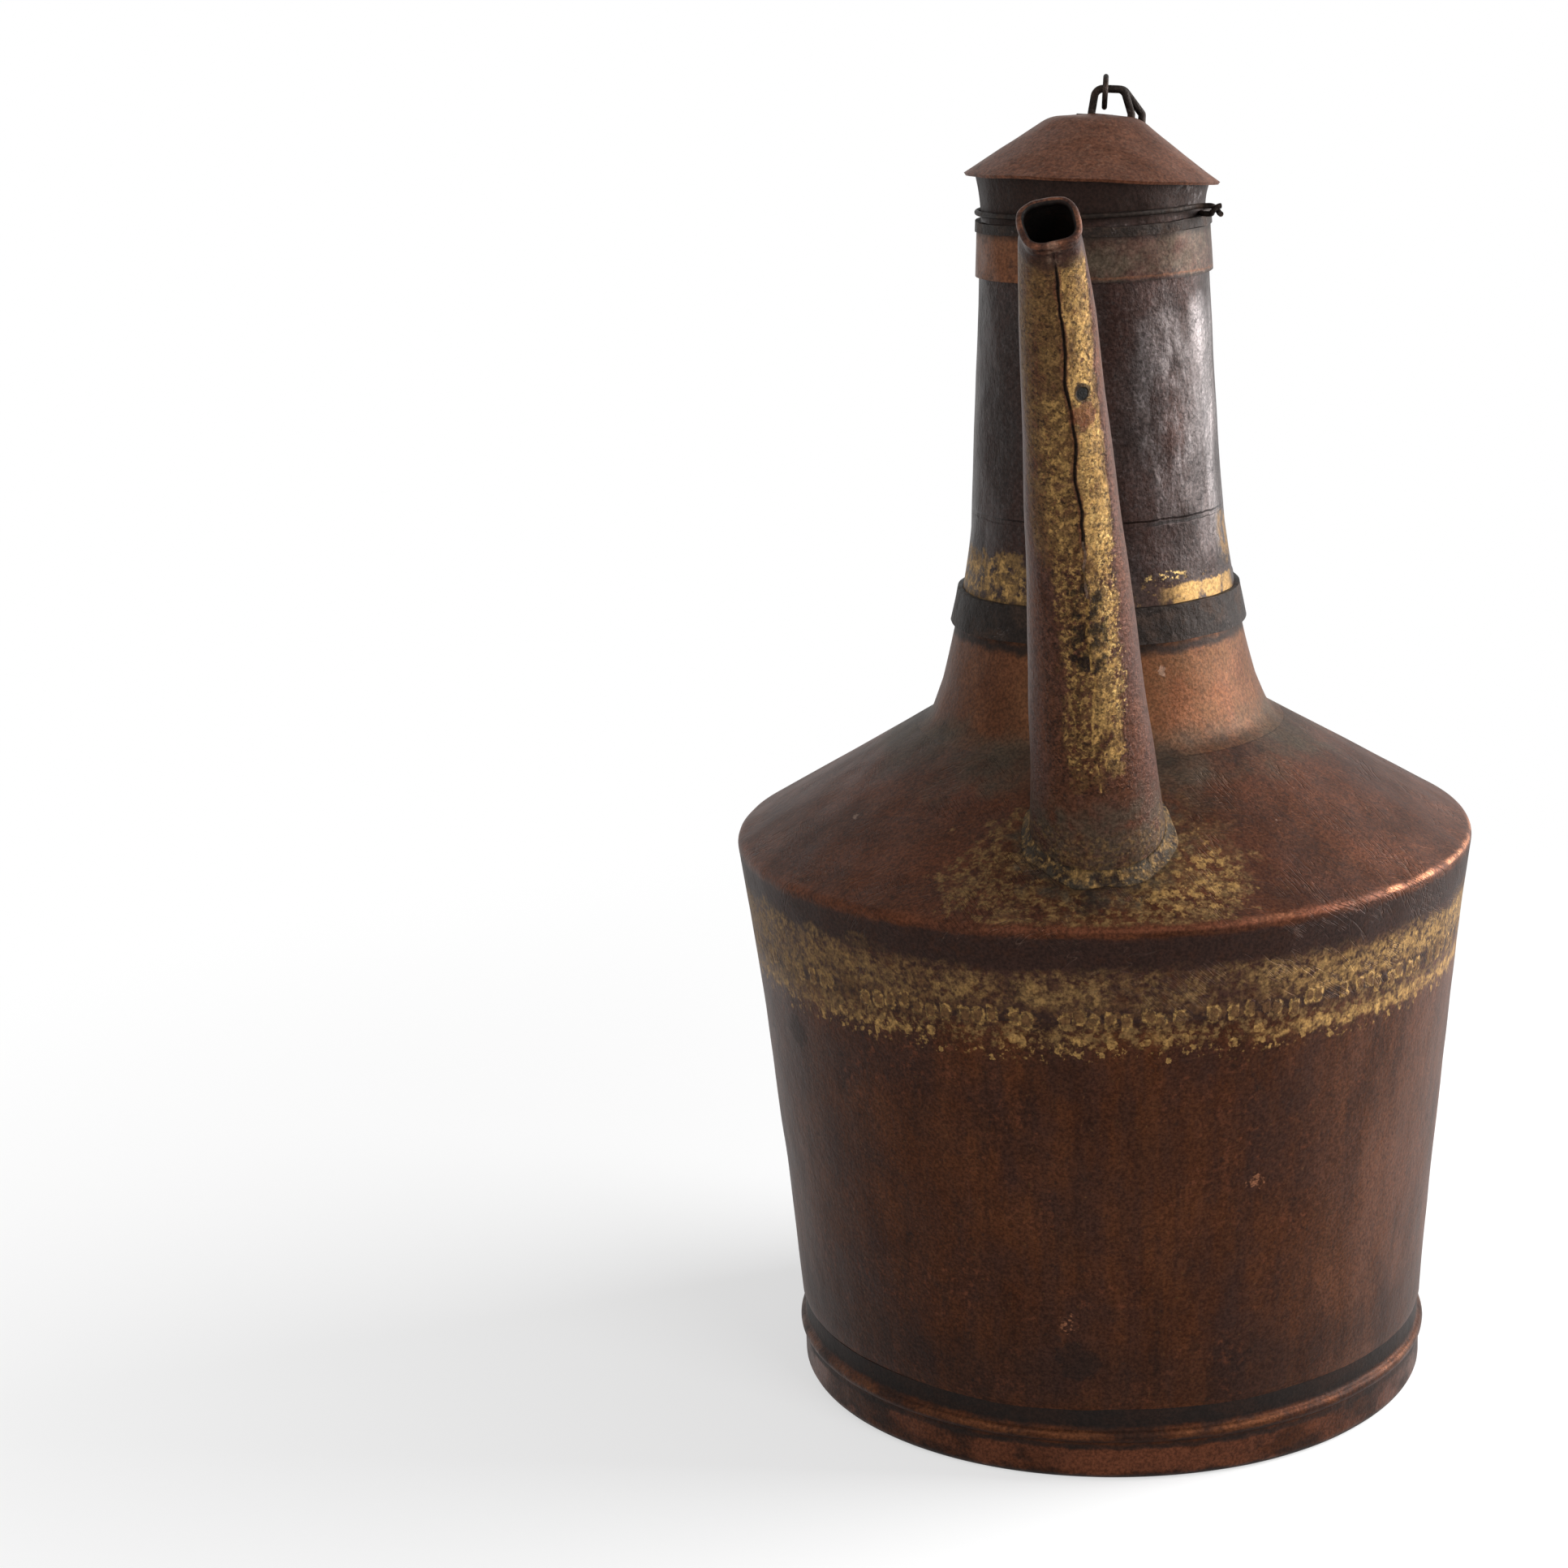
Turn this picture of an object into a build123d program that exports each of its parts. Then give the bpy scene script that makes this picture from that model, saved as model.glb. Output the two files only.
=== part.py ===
"""Antique copper pitcher: a riveted and brazed water can with a long spout and a hinged lid.

The belly, shoulder and neck are raised from copper sheet and joined by toothed, brazed seams.
An iron collar, an iron strap and a twisted binding wire tighten the neck. A forged iron handle
is riveted on at the back, and the lid turns on a pin between the ears of a bracket on the handle.

The frame is the pitcher's own: the origin is the centre of the flat bottom, +Z points up, the
spout points to -Y and the handle to +Y. All sizes are millimetres.
"""

import os
from math import acos, asin, atan, atan2, cos, degrees, pi, radians, sin, tan

from build123d import *

# Sheet, straps and the clearances that parts are set together with
sheet = 1.2  # copper sheet of the vessel, lid and spout
strap_iron = 1.8  # iron sheet of the collar, the neck strap, the bracket and the lid strap
seat_gap = 0.05  # pieces that are brazed, riveted or bound against each other
bind_gap = 0.15  # collar, band and strap round the neck
tooth_gap = 0.04  # each side of a tooth in a cramped seam
overrun = 3.0  # how far a cutting body runs past what it cuts
full_turn = 360  # degrees

# Foot and belly
foot_height = 25.6  # floor to the lower edge of the belly wall
foot_radius = 115.9  # outer radius of the foot band above the bottom corner
foot_corner = 3.2  # bend radius between the bottom and the foot band
bead_radius = 2.4  # section radius of the raised bead round the foot band
bead_height = 16.5  # floor to the middle of the bead
bead_proud = 1.5  # how far the bead stands out of the foot band
flange_height = 11.0  # the pan's flange inside the belly wall
belly_foot_radius = 115.9  # outer radius of the belly wall at its lower edge
belly_hollow = 1.2  # how far the belly wall curves in at half its height
rim_radius = 133.8  # sharp rim between belly and shoulder
rim_height = 206.5
rim_bend = 2.0  # bend radius of that rim

# Shoulder and neck
root_radius = 61.5  # where the shoulder cone meets the neck
root_height = 249.4
root_bend = 10.0
flare_radius = 56.6  # top of the short flare above the root
flare_height = 261.8
throat_radius = 49.8  # middle of the curve from the flare to the straight neck
throat_height = 289.5
neck_foot_radius = 45.2  # lower end of the straight, tapered neck
neck_foot_height = 318.0
neck_top_radius = 39.0  # upper end of the neck, where the mouth begins to flare
neck_top_height = 429.0
mouth_radius = 40.9  # outer radius of the mouth where the lid sits
mouth_height = 440.6

# Cramped seams: square teeth of the two sheets that stand between each other
belly_seam_height = 173.0
belly_tooth_height = 8.0
belly_teeth = 72
neck_seam_height = 304.0
neck_tooth_height = 6.0
neck_teeth = 24
tooth_share = 0.5  # share of the pitch that a tooth takes
braze_thickness = 0.5  # brass run along the inside of a seam
braze_margin = 3.0  # brass above and below the teeth
flare_seam_drop = 2.9  # root of the neck down to the lap between flare and shoulder
flare_lap = 4.0  # height of the flare's joggled edge under the shoulder

# Iron collar at the foot of the neck
collar_height = 284.0  # lower edge
collar_width = 12.4
collar_lip = 3.4  # how far the loose end of the collar stands off
collar_lip_length = 7.0
collar_lip_angle = 18.0  # degrees behind the right-hand side

# Copper band, iron strap and binding wire near the mouth
band_height = 407.7
band_width = 15.8
strap_width = 3.4
strap_lap_length = 9.0  # ends of the neck strap that lie over each other
strap_lap_angle = 176.0  # degrees from the right-hand side, through the spout
wire_radius = 0.95
wire_pitch = 2.8
wire_turns = 1
wire_step = 0.1  # strap to the first turn
wire_bend = 4.6  # length that the wire's ends take to leave the neck
wire_tail = 4.2  # length of the twisted ends
wire_twist_quarters = 2
wire_angle = -26.0  # degrees of the twisted ends from the right-hand side, to the front

# Spout
spout_seat_shift = 3.95  # the middle of the spout's foot lies this far inside the middle of the cone
spout_seat_side = 1.2  # the middle of the foot lies this far to the left
spout_outward = 12.5  # degrees the spout leans away from the neck
spout_side_lean = 3.3  # degrees the spout leans to the left
spout_length = 182.0  # straight length above the shoulder
spout_tip_bend_radius = 60.0
spout_tip_turn = 32.5  # degrees the tip bends forward
spout_foot_radius = 22.8
spout_waist_radius = 12.1  # at the end of the straight length
spout_tip_radius = 9.1
spout_hollow = 0.6  # how much thinner than a plain cone the spout is at half length
spout_lip_radius = 1.25  # section radius of the rolled lip
spout_flange_width = 4.0
spout_hole_radius = 15.0  # hole in the shoulder under the spout
braze_leg = 3.0  # brass round the spout's flange

# Handle
handle_width = 18.0
handle_thickness = 4.0
handle_edge = 1.2  # rounding of the handle's long edges
handle_reach = 108.0  # axis of the pitcher to the grip
handle_arm_height = 424.0
handle_low_height = 336.0  # where the grip turns in towards the collar
handle_upper_bend = 6.0
handle_grip_bend = 26.0
handle_lower_bend = 9.0
handle_foot_height = 404.6  # lower end of the upper foot
handle_toe_drop = 3.0  # how far the lower foot reaches below the collar

# Lid
lid_radius = 44.6
lid_slope = 35.5  # degrees
lid_top_radius = 15.6  # radius of the nearly flat top
lid_top_bend = 8.0
lid_crown = 1.2  # rise of the top at its middle
lid_side_tilt = 4.0  # degrees the mouth and the lid are out of level, high on the left
lid_front_tilt = 3.4  # degrees they are high at the spout
lid_rest_gap = 0.3
sleeve_depth = 7.0
sleeve_clearance = 0.9

# Hinge
pin_radius = 1.5
pin_clearance = 0.06
pin_seat_gap = 0.01
pin_head_radius = 2.6
pin_head_height = 1.2
barrel_wall = 1.6
hinge_offset = 5.6  # lid's edge to the pin along the strap
barrel_end_gap = 0.5
lid_strap_width = 13.0
lid_strap_length = 26.6
ear_radius = 4.4
bracket_back = 69.0  # axis of the pitcher to the end of the bracket

# Rivets
rivet_radius = 1.6
rivet_head_radius = 2.6
rivet_head_height = 1.5
rivet_hole_gap = 0.02
neck_rivet_heights = (410.1, 415.4)
bracket_rivet_places = (58.5, 65.5)
strap_rivet_places = (22.6, 31.0)  # distance from the middle of the lid

# Wire loop and link on the lid
loop_wire_radius = 1.35
loop_left = -1.2  # left leg, from the middle of the lid
loop_top_left = -0.2
loop_top_right = 9.6
loop_right = 12.6
loop_outer_right = 16.4
loop_rise = 9.6  # top of the lid to the middle of the wire
loop_bend = 3.0
loop_set_back = 1.8  # the loop stands behind the middle of the lid
loop_strand_gap = 3.1  # middle to middle of the two strands
loop_clench = 7.0  # how far the legs reach below the lid's top
link_wire_radius = 0.95
link_radius = 5.2
link_play = 0.3
link_place_share = 0.34  # place of the link along the loop's level top


# The lid's own plane, and other places worked out from the sizes above
lid_plane = Plane(
    origin=(0, 0, mouth_height),
    x_dir=Vector(1, 0, 0).rotate(Axis.Y, lid_side_tilt),
    z_dir=Vector(0, 0, 1).rotate(Axis.X, -lid_front_tilt).rotate(Axis.Y, lid_side_tilt),
)
lid_axis = Axis(lid_plane.origin, lid_plane.z_dir)
lid_section = Plane(lid_plane.origin, x_dir=lid_plane.x_dir, z_dir=-lid_plane.y_dir)
spout_seat_radius = (rim_radius + root_radius) / 2 - spout_seat_shift
mouth_slope = (mouth_radius - neck_top_radius) / (mouth_height - neck_top_height)
neck_slope = (neck_top_radius - neck_foot_radius) / (neck_top_height - neck_foot_height)
shoulder_slope = (root_height - rim_height) / (rim_radius - root_radius)
shoulder_lean = atan2(root_height - rim_height, rim_radius - root_radius)
tilt = acos(lid_plane.z_dir.Z)
slope = radians(lid_slope)
high_radius = mouth_radius / (1 - mouth_slope * tan(tilt)) / cos(tilt)
lid_under = lid_rest_gap / cos(slope) - (lid_radius - high_radius) * tan(slope)
lid_edge = lid_under + sheet / cos(slope)
lid_top = lid_edge + (lid_radius - lid_top_radius) * tan(slope)


def neck_surface(height):
    """Outer radius of the straight neck and of the mouth at one height."""
    if height > neck_top_height:
        return neck_top_radius + mouth_slope * (height - neck_top_height)
    return neck_top_radius + neck_slope * (height - neck_top_height)


with BuildLine() as throat_line:
    ThreePointArc(
        (flare_radius, flare_height),
        (throat_radius, throat_height),
        (neck_foot_radius, neck_foot_height),
    )
throat_arc = throat_line.edges()[0]


def skin_place(height):
    """Outer radius of the vessel at a height above the rim, and how far it leans from upright."""
    if height > neck_foot_height:
        return neck_surface(height), atan(-neck_slope)
    if height > flare_height:
        rise = throat_arc.arc_center.Y - height
        lean = asin(rise / throat_arc.radius)
        return throat_arc.arc_center.X - throat_arc.radius * cos(lean), lean
    if height > root_height:
        spread = (root_radius - flare_radius) / (flare_height - root_height)
        return flare_radius + spread * (flare_height - height), atan(spread)
    return root_radius + (root_height - height) / shoulder_slope, pi / 2 - shoulder_lean


def vessel_skin(grow=0.0, wall=sheet):
    """Half section of belly, shoulder and neck: a strip of one wall's thickness inside the outline."""
    half_height = (foot_height + rim_height) / 2
    half_radius = (belly_foot_radius + rim_radius) / 2 - belly_hollow
    peak = 2 * mouth_height - neck_top_height
    with BuildSketch(Plane.XZ) as section:
        with BuildLine():
            ThreePointArc(
                (belly_foot_radius + grow, foot_height),
                (half_radius + grow, half_height),
                (rim_radius + grow, rim_height),
            )
            FilletPolyline(
                (rim_radius + grow, rim_height),
                (root_radius + grow, root_height),
                (flare_radius + grow, flare_height),
                radius=root_bend,
            )
            ThreePointArc(
                (flare_radius + grow, flare_height),
                (throat_radius + grow, throat_height),
                (neck_foot_radius + grow, neck_foot_height),
            )
            Polyline(
                (neck_foot_radius + grow, neck_foot_height),
                (neck_top_radius + grow, neck_top_height),
                (neck_surface(peak) + grow, peak),
            )
            offset(amount=wall, side=Side.LEFT)
        make_face()
    return section.sketch


def ring_of_skin(low, high, grow=0.0, wall=sheet):
    """The vessel's skin turned round the axis and kept between two heights."""
    with BuildPart() as ring:
        add(vessel_skin(grow, wall))
        revolve(axis=Axis.Z)
        split(bisect_by=Plane.XY.offset(low), keep=Keep.TOP)
        split(bisect_by=Plane.XY.offset(high), keep=Keep.BOTTOM)
    return ring.part


def tooth_blocks(height, tooth_height, count, radius, gap):
    """Blocks round the axis, each as wide as the gap between two teeth less twice the clearance."""
    width = tooth_share * 2 * pi * radius / count - 2 * gap
    with BuildPart() as blocks:
        with BuildSketch(Plane.XY.offset(height - tooth_height / 2 - tooth_gap + gap)):
            with PolarLocations(radius, count):
                Rectangle(4 * overrun, width)
        extrude(amount=tooth_height + overrun)
    return blocks.part


def comb(height, tooth_height, count, radius):
    """The room that the upper sheet leaves for the teeth of the lower one."""
    low = height - tooth_height / 2 - overrun
    with BuildPart() as room:
        with BuildSketch(Plane.XY.offset(low)):
            Circle(radius + 2 * overrun)
            Circle(radius - 2 * overrun, mode=Mode.SUBTRACT)
        extrude(amount=tooth_height + overrun + tooth_gap)
        with BuildSketch(Plane.XY.offset(height - tooth_height / 2)):
            with PolarLocations(radius, count):
                Rectangle(5 * overrun, tooth_share * 2 * pi * radius / count - 2 * tooth_gap)
        extrude(amount=tooth_height + overrun, mode=Mode.SUBTRACT)
    return room.part


def rivets(seats, grip, head_height=rivet_head_height):
    """Round-headed rivets, each with its outer head on a seat and its shank through the grip."""
    with BuildPart() as row:
        for seat in seats:
            with BuildSketch(Plane(seat.origin, x_dir=seat.x_dir, z_dir=-seat.y_dir)) as half:
                with BuildLine():
                    TangentArc((0, head_height), (rivet_head_radius, 0), tangent=(1, 0))
                    Polyline(
                        (rivet_head_radius, 0),
                        (rivet_radius, 0),
                        (rivet_radius, -grip),
                        (rivet_head_radius, -grip),
                    )
                    TangentArc((0, -grip - head_height), (rivet_head_radius, -grip), tangent=(1, 0))
                    Line((0, -grip - head_height), (0, head_height))
                make_face()
            revolve(half.sketch, axis=Axis(seat.origin, seat.z_dir))
    return row.part


def rivet_bores(seats, grip):
    """The holes that a row of rivets needs."""
    with BuildPart() as holes:
        for seat in seats:
            with BuildSketch(seat.offset(overrun)):
                Circle(rivet_radius + rivet_hole_gap)
            extrude(amount=-(grip + 2 * overrun))
    return holes.part


def finish(piece, name):
    """Name a piece and write it."""
    piece.part.label = name
    export_step(piece.part, "parts/" + name + ".step")
    return piece.part


os.makedirs("parts", exist_ok=True)

# Places of the rivets
band_face = neck_surface(band_height + band_width / 2) + sheet + bind_gap + seat_gap
handle_foot_place = band_face + handle_thickness / 2 - seat_gap
neck_rivet_grip = handle_thickness + 2 * sheet + bind_gap + 4 * seat_gap
neck_rivet_seats = [
    Plane(
        origin=(0, handle_foot_place + handle_thickness / 2, height),
        x_dir=(1, 0, 0),
        z_dir=(0, 1, 0),
    )
    for height in neck_rivet_heights
]
collar_top = collar_height + collar_width
collar_middle = (collar_height + collar_top) / 2
collar_skin, collar_lean = skin_place(collar_middle)
collar_face = collar_skin + (strap_iron + bind_gap + seat_gap) / cos(collar_lean)
foot_direction = Vector(0, cos(collar_lean), sin(collar_lean))
foot_middle = Vector(0, collar_face, collar_middle) + foot_direction * (handle_thickness / 2)
collar_rivet_grip = handle_thickness + strap_iron + sheet + bind_gap + 4 * seat_gap
collar_rivet_seats = [
    Plane(
        origin=foot_middle + foot_direction * (handle_thickness / 2),
        x_dir=(1, 0, 0),
        z_dir=foot_direction,
    )
]
arm_top = handle_arm_height + handle_thickness / 2
bracket_top = arm_top + seat_gap + strap_iron
bracket_rivet_seats = [
    Plane(origin=(0, place, bracket_top), x_dir=(1, 0, 0), z_dir=(0, 0, 1))
    for place in bracket_rivet_places
]
bracket_rivet_grip = strap_iron + handle_thickness + 2 * seat_gap

# Pan: the flat bottom, the foot band with its bead, and a flange inside the belly wall
with BuildPart() as pan:
    inner = belly_foot_radius - sheet - seat_gap
    with BuildSketch(Plane.XZ):
        with BuildLine():
            FilletPolyline(
                (0, 0),
                (foot_radius, 0),
                (foot_radius, foot_height - seat_gap),
                radius=foot_corner,
            )
            Polyline(
                (foot_radius, foot_height - seat_gap),
                (inner, foot_height - seat_gap),
                (inner, foot_height + flange_height),
                (inner - sheet, foot_height + flange_height),
            )
            FilletPolyline(
                (inner - sheet, foot_height + flange_height),
                (inner - sheet, sheet),
                (0, sheet),
                radius=foot_corner,
            )
            Line((0, sheet), (0, 0))
        make_face()
        with Locations((foot_radius + bead_proud - bead_radius, bead_height)):
            Circle(bead_radius)
    revolve(axis=Axis.Z)
finish(pan, "bottom_pan")

# Belly wall, with teeth along its upper edge
belly_seam_radius = rim_radius - (rim_height - belly_seam_height) * (
    (rim_radius - belly_foot_radius) / (rim_height - foot_height)
)
with BuildPart() as belly:
    add(ring_of_skin(foot_height, belly_seam_height + belly_tooth_height / 2))
    add(
        tooth_blocks(belly_seam_height, belly_tooth_height, belly_teeth, belly_seam_radius, 0),
        mode=Mode.SUBTRACT,
    )
finish(belly, "belly_wall")

# Spout's axis: a straight lean and a forward bend at the tip
spout_side = radians(spout_side_lean)
spout_foot_height = rim_height + shoulder_slope * (rim_radius - spout_seat_radius)
spout_seat = Vector(-spout_seat_side, -spout_seat_radius, spout_foot_height)
spout_up = (
    Vector(0, 0, 1).rotate(Axis.X, spout_outward).rotate(Axis.Y, -spout_side_lean)
)
spout_cross = Vector(1, 0, 0).rotate(Axis.Y, -spout_side_lean)
spout_plane = Plane(origin=spout_seat, x_dir=spout_cross, z_dir=spout_up)
spout_bend_centre = spout_seat + spout_up * spout_length - spout_plane.y_dir * spout_tip_bend_radius
spout_depth = 2 * spout_foot_radius * shoulder_slope


def spout_bend_plane(turn):
    """Plane across the spout after a turn, in degrees, of the bend at the tip."""
    arm = spout_plane.y_dir * (spout_tip_bend_radius * cos(radians(turn)))
    lift = spout_up * (spout_tip_bend_radius * sin(radians(turn)))
    direction = spout_up * cos(radians(turn)) - spout_plane.y_dir * sin(radians(turn))
    return Plane(origin=spout_bend_centre + arm + lift, x_dir=spout_cross, z_dir=direction)


def spout_body(inset):
    """The spout as a solid, with its surface moved in by one length."""
    with BuildPart() as body:
        with BuildSketch(Plane(spout_seat, x_dir=spout_cross, z_dir=-spout_plane.y_dir)):
            with BuildLine():
                growth = (spout_foot_radius - spout_waist_radius) / spout_length
                low_radius = spout_foot_radius + growth * spout_depth - inset
                half_radius = (spout_foot_radius + spout_waist_radius) / 2 - spout_hollow - inset
                Polyline(
                    (0, spout_length),
                    (0, -spout_depth),
                    (low_radius, -spout_depth),
                    (spout_foot_radius - inset, 0),
                )
                ThreePointArc(
                    (spout_foot_radius - inset, 0),
                    (half_radius, spout_length / 2),
                    (spout_waist_radius - inset, spout_length),
                )
                Line((spout_waist_radius - inset, spout_length), (0, spout_length))
            make_face()
        revolve(axis=Axis(spout_seat, spout_up))
        steps = 4
        for step in range(steps + 1):
            along = step / steps
            with BuildSketch(spout_bend_plane(spout_tip_turn * along)):
                Circle(spout_waist_radius + (spout_tip_radius - spout_waist_radius) * along - inset)
        loft()
    return body.part


def under_shoulder(grow):
    """All that lies under the shoulder's cone, raised by one length."""
    peak = rim_height + shoulder_slope * rim_radius + grow
    with BuildPart() as below:
        with BuildSketch(Plane.XZ):
            Polygon((0, 0), (rim_radius, 0), (rim_radius, rim_height + grow), (0, peak), align=None)
        revolve(axis=Axis.Z)
    return below.part


# Shoulder: the skirt above the belly seam, toothed below, and the cone with the spout's hole
flare_seam_height = root_height - flare_seam_drop
with BuildPart() as shoulder:
    add(ring_of_skin(belly_seam_height - belly_tooth_height / 2, flare_seam_height))
    add(
        comb(belly_seam_height, belly_tooth_height, belly_teeth, belly_seam_radius),
        mode=Mode.SUBTRACT,
    )
    with BuildSketch(spout_plane.offset(-spout_depth)):
        Circle(spout_hole_radius)
    extrude(amount=2 * spout_depth, mode=Mode.SUBTRACT)
finish(shoulder, "shoulder")

# Flare: its joggled lower edge is brazed under the shoulder, and its upper edge is toothed
neck_seam_radius = neck_surface(neck_seam_height) + seat_gap
flare_edge = flare_seam_height - flare_lap
under_cone = -(sheet + seat_gap) / sin(shoulder_lean)
with BuildPart() as flare:
    add(ring_of_skin(flare_seam_height + seat_gap, neck_seam_height + neck_tooth_height / 2))
    add(
        ring_of_skin(
            flare_seam_height + seat_gap,
            flare_seam_height + flare_seam_drop,
            wall=2 * sheet + seat_gap,
        )
    )
    add(ring_of_skin(flare_edge, flare_seam_height + sheet, under_cone))
    add(
        tooth_blocks(neck_seam_height, neck_tooth_height, neck_teeth, neck_seam_radius, 0),
        mode=Mode.SUBTRACT,
    )
    add(rivet_bores(collar_rivet_seats, collar_rivet_grip), mode=Mode.SUBTRACT)
finish(flare, "neck_flare")

with BuildPart() as flare_braze:
    add(ring_of_skin(flare_edge - braze_margin, flare_edge - seat_gap, under_cone))
finish(flare_braze, "flare_seam_braze")

# Neck: the tapered tube and the flared mouth, cut in the lid's plane
with BuildPart() as neck:
    add(ring_of_skin(neck_seam_height - neck_tooth_height / 2, mouth_height + mouth_radius))
    add(
        comb(neck_seam_height, neck_tooth_height, neck_teeth, neck_seam_radius),
        mode=Mode.SUBTRACT,
    )
    split(bisect_by=lid_plane, keep=Keep.BOTTOM)
    add(rivet_bores(neck_rivet_seats, neck_rivet_grip), mode=Mode.SUBTRACT)
finish(neck, "neck")


def seam_braze(height, tooth_height):
    """Brass run along the inside of a toothed seam."""
    reach = tooth_height / 2 + braze_margin
    inside = -sheet - seat_gap
    return ring_of_skin(height - reach, height + reach, inside, braze_thickness)


with BuildPart() as belly_braze:
    add(seam_braze(belly_seam_height, belly_tooth_height))
finish(belly_braze, "belly_seam_braze")

with BuildPart() as neck_braze:
    add(seam_braze(neck_seam_height, neck_tooth_height))
finish(neck_braze, "neck_seam_braze")

# Iron collar, with a loose end that stands off behind the right-hand side
with BuildPart() as collar:
    add(ring_of_skin(collar_height, collar_height + collar_width, bind_gap + strap_iron, strap_iron))
    lip_radius = skin_place(collar_height)[0] + strap_iron / 2
    lip_way = Vector(0, 1, 0).rotate(Axis.Z, collar_lip_angle)
    lip_out = Vector(1, 0, 0).rotate(Axis.Z, collar_lip_angle)
    lip_start = lip_out * lip_radius
    lip_end = lip_start + lip_way * collar_lip_length + lip_out * collar_lip
    with BuildSketch(Plane.XY.offset(collar_height)):
        with BuildLine():
            TangentArc(lip_start, lip_end, tangent=lip_way)
            offset(amount=strap_iron / 2)
        make_face()
    extrude(amount=collar_width)
    add(
        ring_of_skin(collar_height - overrun, collar_top + overrun, bind_gap, 2 * overrun),
        mode=Mode.SUBTRACT,
    )
    add(rivet_bores(collar_rivet_seats, collar_rivet_grip), mode=Mode.SUBTRACT)
finish(collar, "neck_collar")

# Copper band and iron strap under the mouth
with BuildPart() as band:
    add(ring_of_skin(band_height, band_height + band_width, bind_gap + sheet, sheet))
    add(rivet_bores(neck_rivet_seats, neck_rivet_grip), mode=Mode.SUBTRACT)
finish(band, "neck_band")

strap_height = band_height + band_width + seat_gap
strap_face = neck_surface(strap_height + strap_width / 2) + bind_gap + strap_iron
with BuildPart() as strap:
    add(ring_of_skin(strap_height, strap_height + strap_width, bind_gap + strap_iron, strap_iron))
    lap_direction = Vector(1, 0, 0).rotate(Axis.Z, -strap_lap_angle)
    lap_plane = Plane(
        origin=lap_direction * strap_face + Vector(0, 0, strap_height + strap_width / 2),
        x_dir=(0, 0, 1),
        z_dir=lap_direction,
    )
    with BuildSketch(lap_plane.offset(-strap_iron / 2)):
        SlotOverall(strap_lap_length, strap_width, rotation=90)
    extrude(amount=strap_iron)
    chamfer(faces().sort_by(Axis(lap_plane.origin, lap_direction))[-1].edges(), strap_iron / 4)
finish(strap, "neck_strap")


# Binding wire: turns round the neck, and both ends twisted together
def biarc(start, start_way, end, end_way):
    """Two arcs in a row that leave one point and reach another in given directions."""
    chord = end - start
    ways = start_way + end_way
    spread = 2 * (1 - start_way.dot(end_way))
    if spread < seat_gap * seat_gap:
        reach = chord.dot(chord) / (4 * chord.dot(end_way))
    else:
        along = chord.dot(ways)
        reach = ((along * along + spread * chord.dot(chord)) ** 0.5 - along) / spread
    first = start + start_way * reach
    last = end - end_way * reach
    middle = (first + last) / 2
    TangentArc(start, middle, tangent=start_way)
    TangentArc(middle, end, tangent=(last - first).normalized())


wire_low = strap_height + strap_width + wire_step + wire_radius
wire_rise = wire_pitch * wire_turns
wire_middle = wire_low + wire_rise / 2
wire_skip = degrees(wire_bend / neck_top_radius)
twist_radius = wire_pitch / 2


def wire_turn(angle):
    """Place and direction on the turns, after an angle in degrees from the twisted ends."""
    height = wire_low + wire_pitch * angle / full_turn
    radius = neck_surface(height) + seat_gap + wire_radius / cos(mouth_slope)
    radius += mouth_slope * wire_radius
    out = Vector(1, 0, 0).rotate(Axis.Z, wire_angle + angle)
    way = Vector(0, 1, 0).rotate(Axis.Z, wire_angle + angle)
    rise = Vector(0, 0, wire_pitch / (2 * pi * radius))
    return out * radius + Vector(0, 0, height), (way + rise).normalized()


def wire_end(quarter, side):
    """Place and outward direction on a twisted end, after a number of quarter turns."""
    out = Vector(1, 0, 0).rotate(Axis.Z, wire_angle)
    across = Vector(0, 1, 0).rotate(Axis.Z, wire_angle)
    turn = radians(full_turn / 4 * quarter) + (pi if side < 0 else 0)
    step = wire_tail / wire_twist_quarters
    start = neck_surface(wire_middle) + wire_radius + wire_bend
    place = out * (start + step * quarter) + Vector(0, 0, wire_middle + twist_radius * cos(turn))
    place += across * (twist_radius * sin(turn))
    speed = twist_radius * pi / 2
    way = out * step - Vector(0, 0, speed * sin(turn)) + across * (speed * cos(turn))
    if quarter == 0:
        way = out
    return place, way.normalized()


wire_stops = []
for quarter in range(wire_twist_quarters, -1, -1):
    place, way = wire_end(quarter, -1)
    wire_stops.append((place, way * -1))
wire_span = full_turn * wire_turns - 2 * wire_skip
for quarter in range(4 * wire_turns + 1):
    wire_stops.append(wire_turn(wire_skip + wire_span * quarter / (4 * wire_turns)))
for quarter in range(wire_twist_quarters + 1):
    wire_stops.append(wire_end(quarter, 1))

with BuildPart() as wire:
    with BuildLine() as wire_path:
        for (start, start_way), (end, end_way) in zip(wire_stops, wire_stops[1:]):
            biarc(start, start_way, end, end_way)
    wire_line = wire_path.wires()[0]
    with BuildSketch(Plane(origin=wire_line @ 0, z_dir=wire_line % 0)):
        Circle(wire_radius)
    sweep(path=wire_line)
finish(wire, "binding_wire")

samples = 400
wire_places = [wire_line @ (step / samples) for step in range(samples + 1)]
near = 4 * wire_radius
least = min(
    (a - b).length
    for i, a in enumerate(wire_places)
    for j, b in enumerate(wire_places)
    if (j - i) * wire_line.length / samples > near
)
print("binding wire: least gap to itself", round(least - 2 * wire_radius, 3))
fill = wire.part.volume / (pi * wire_radius**2 * wire_line.length)
print("binding wire: volume over section times length", round(fill, 4))

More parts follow.
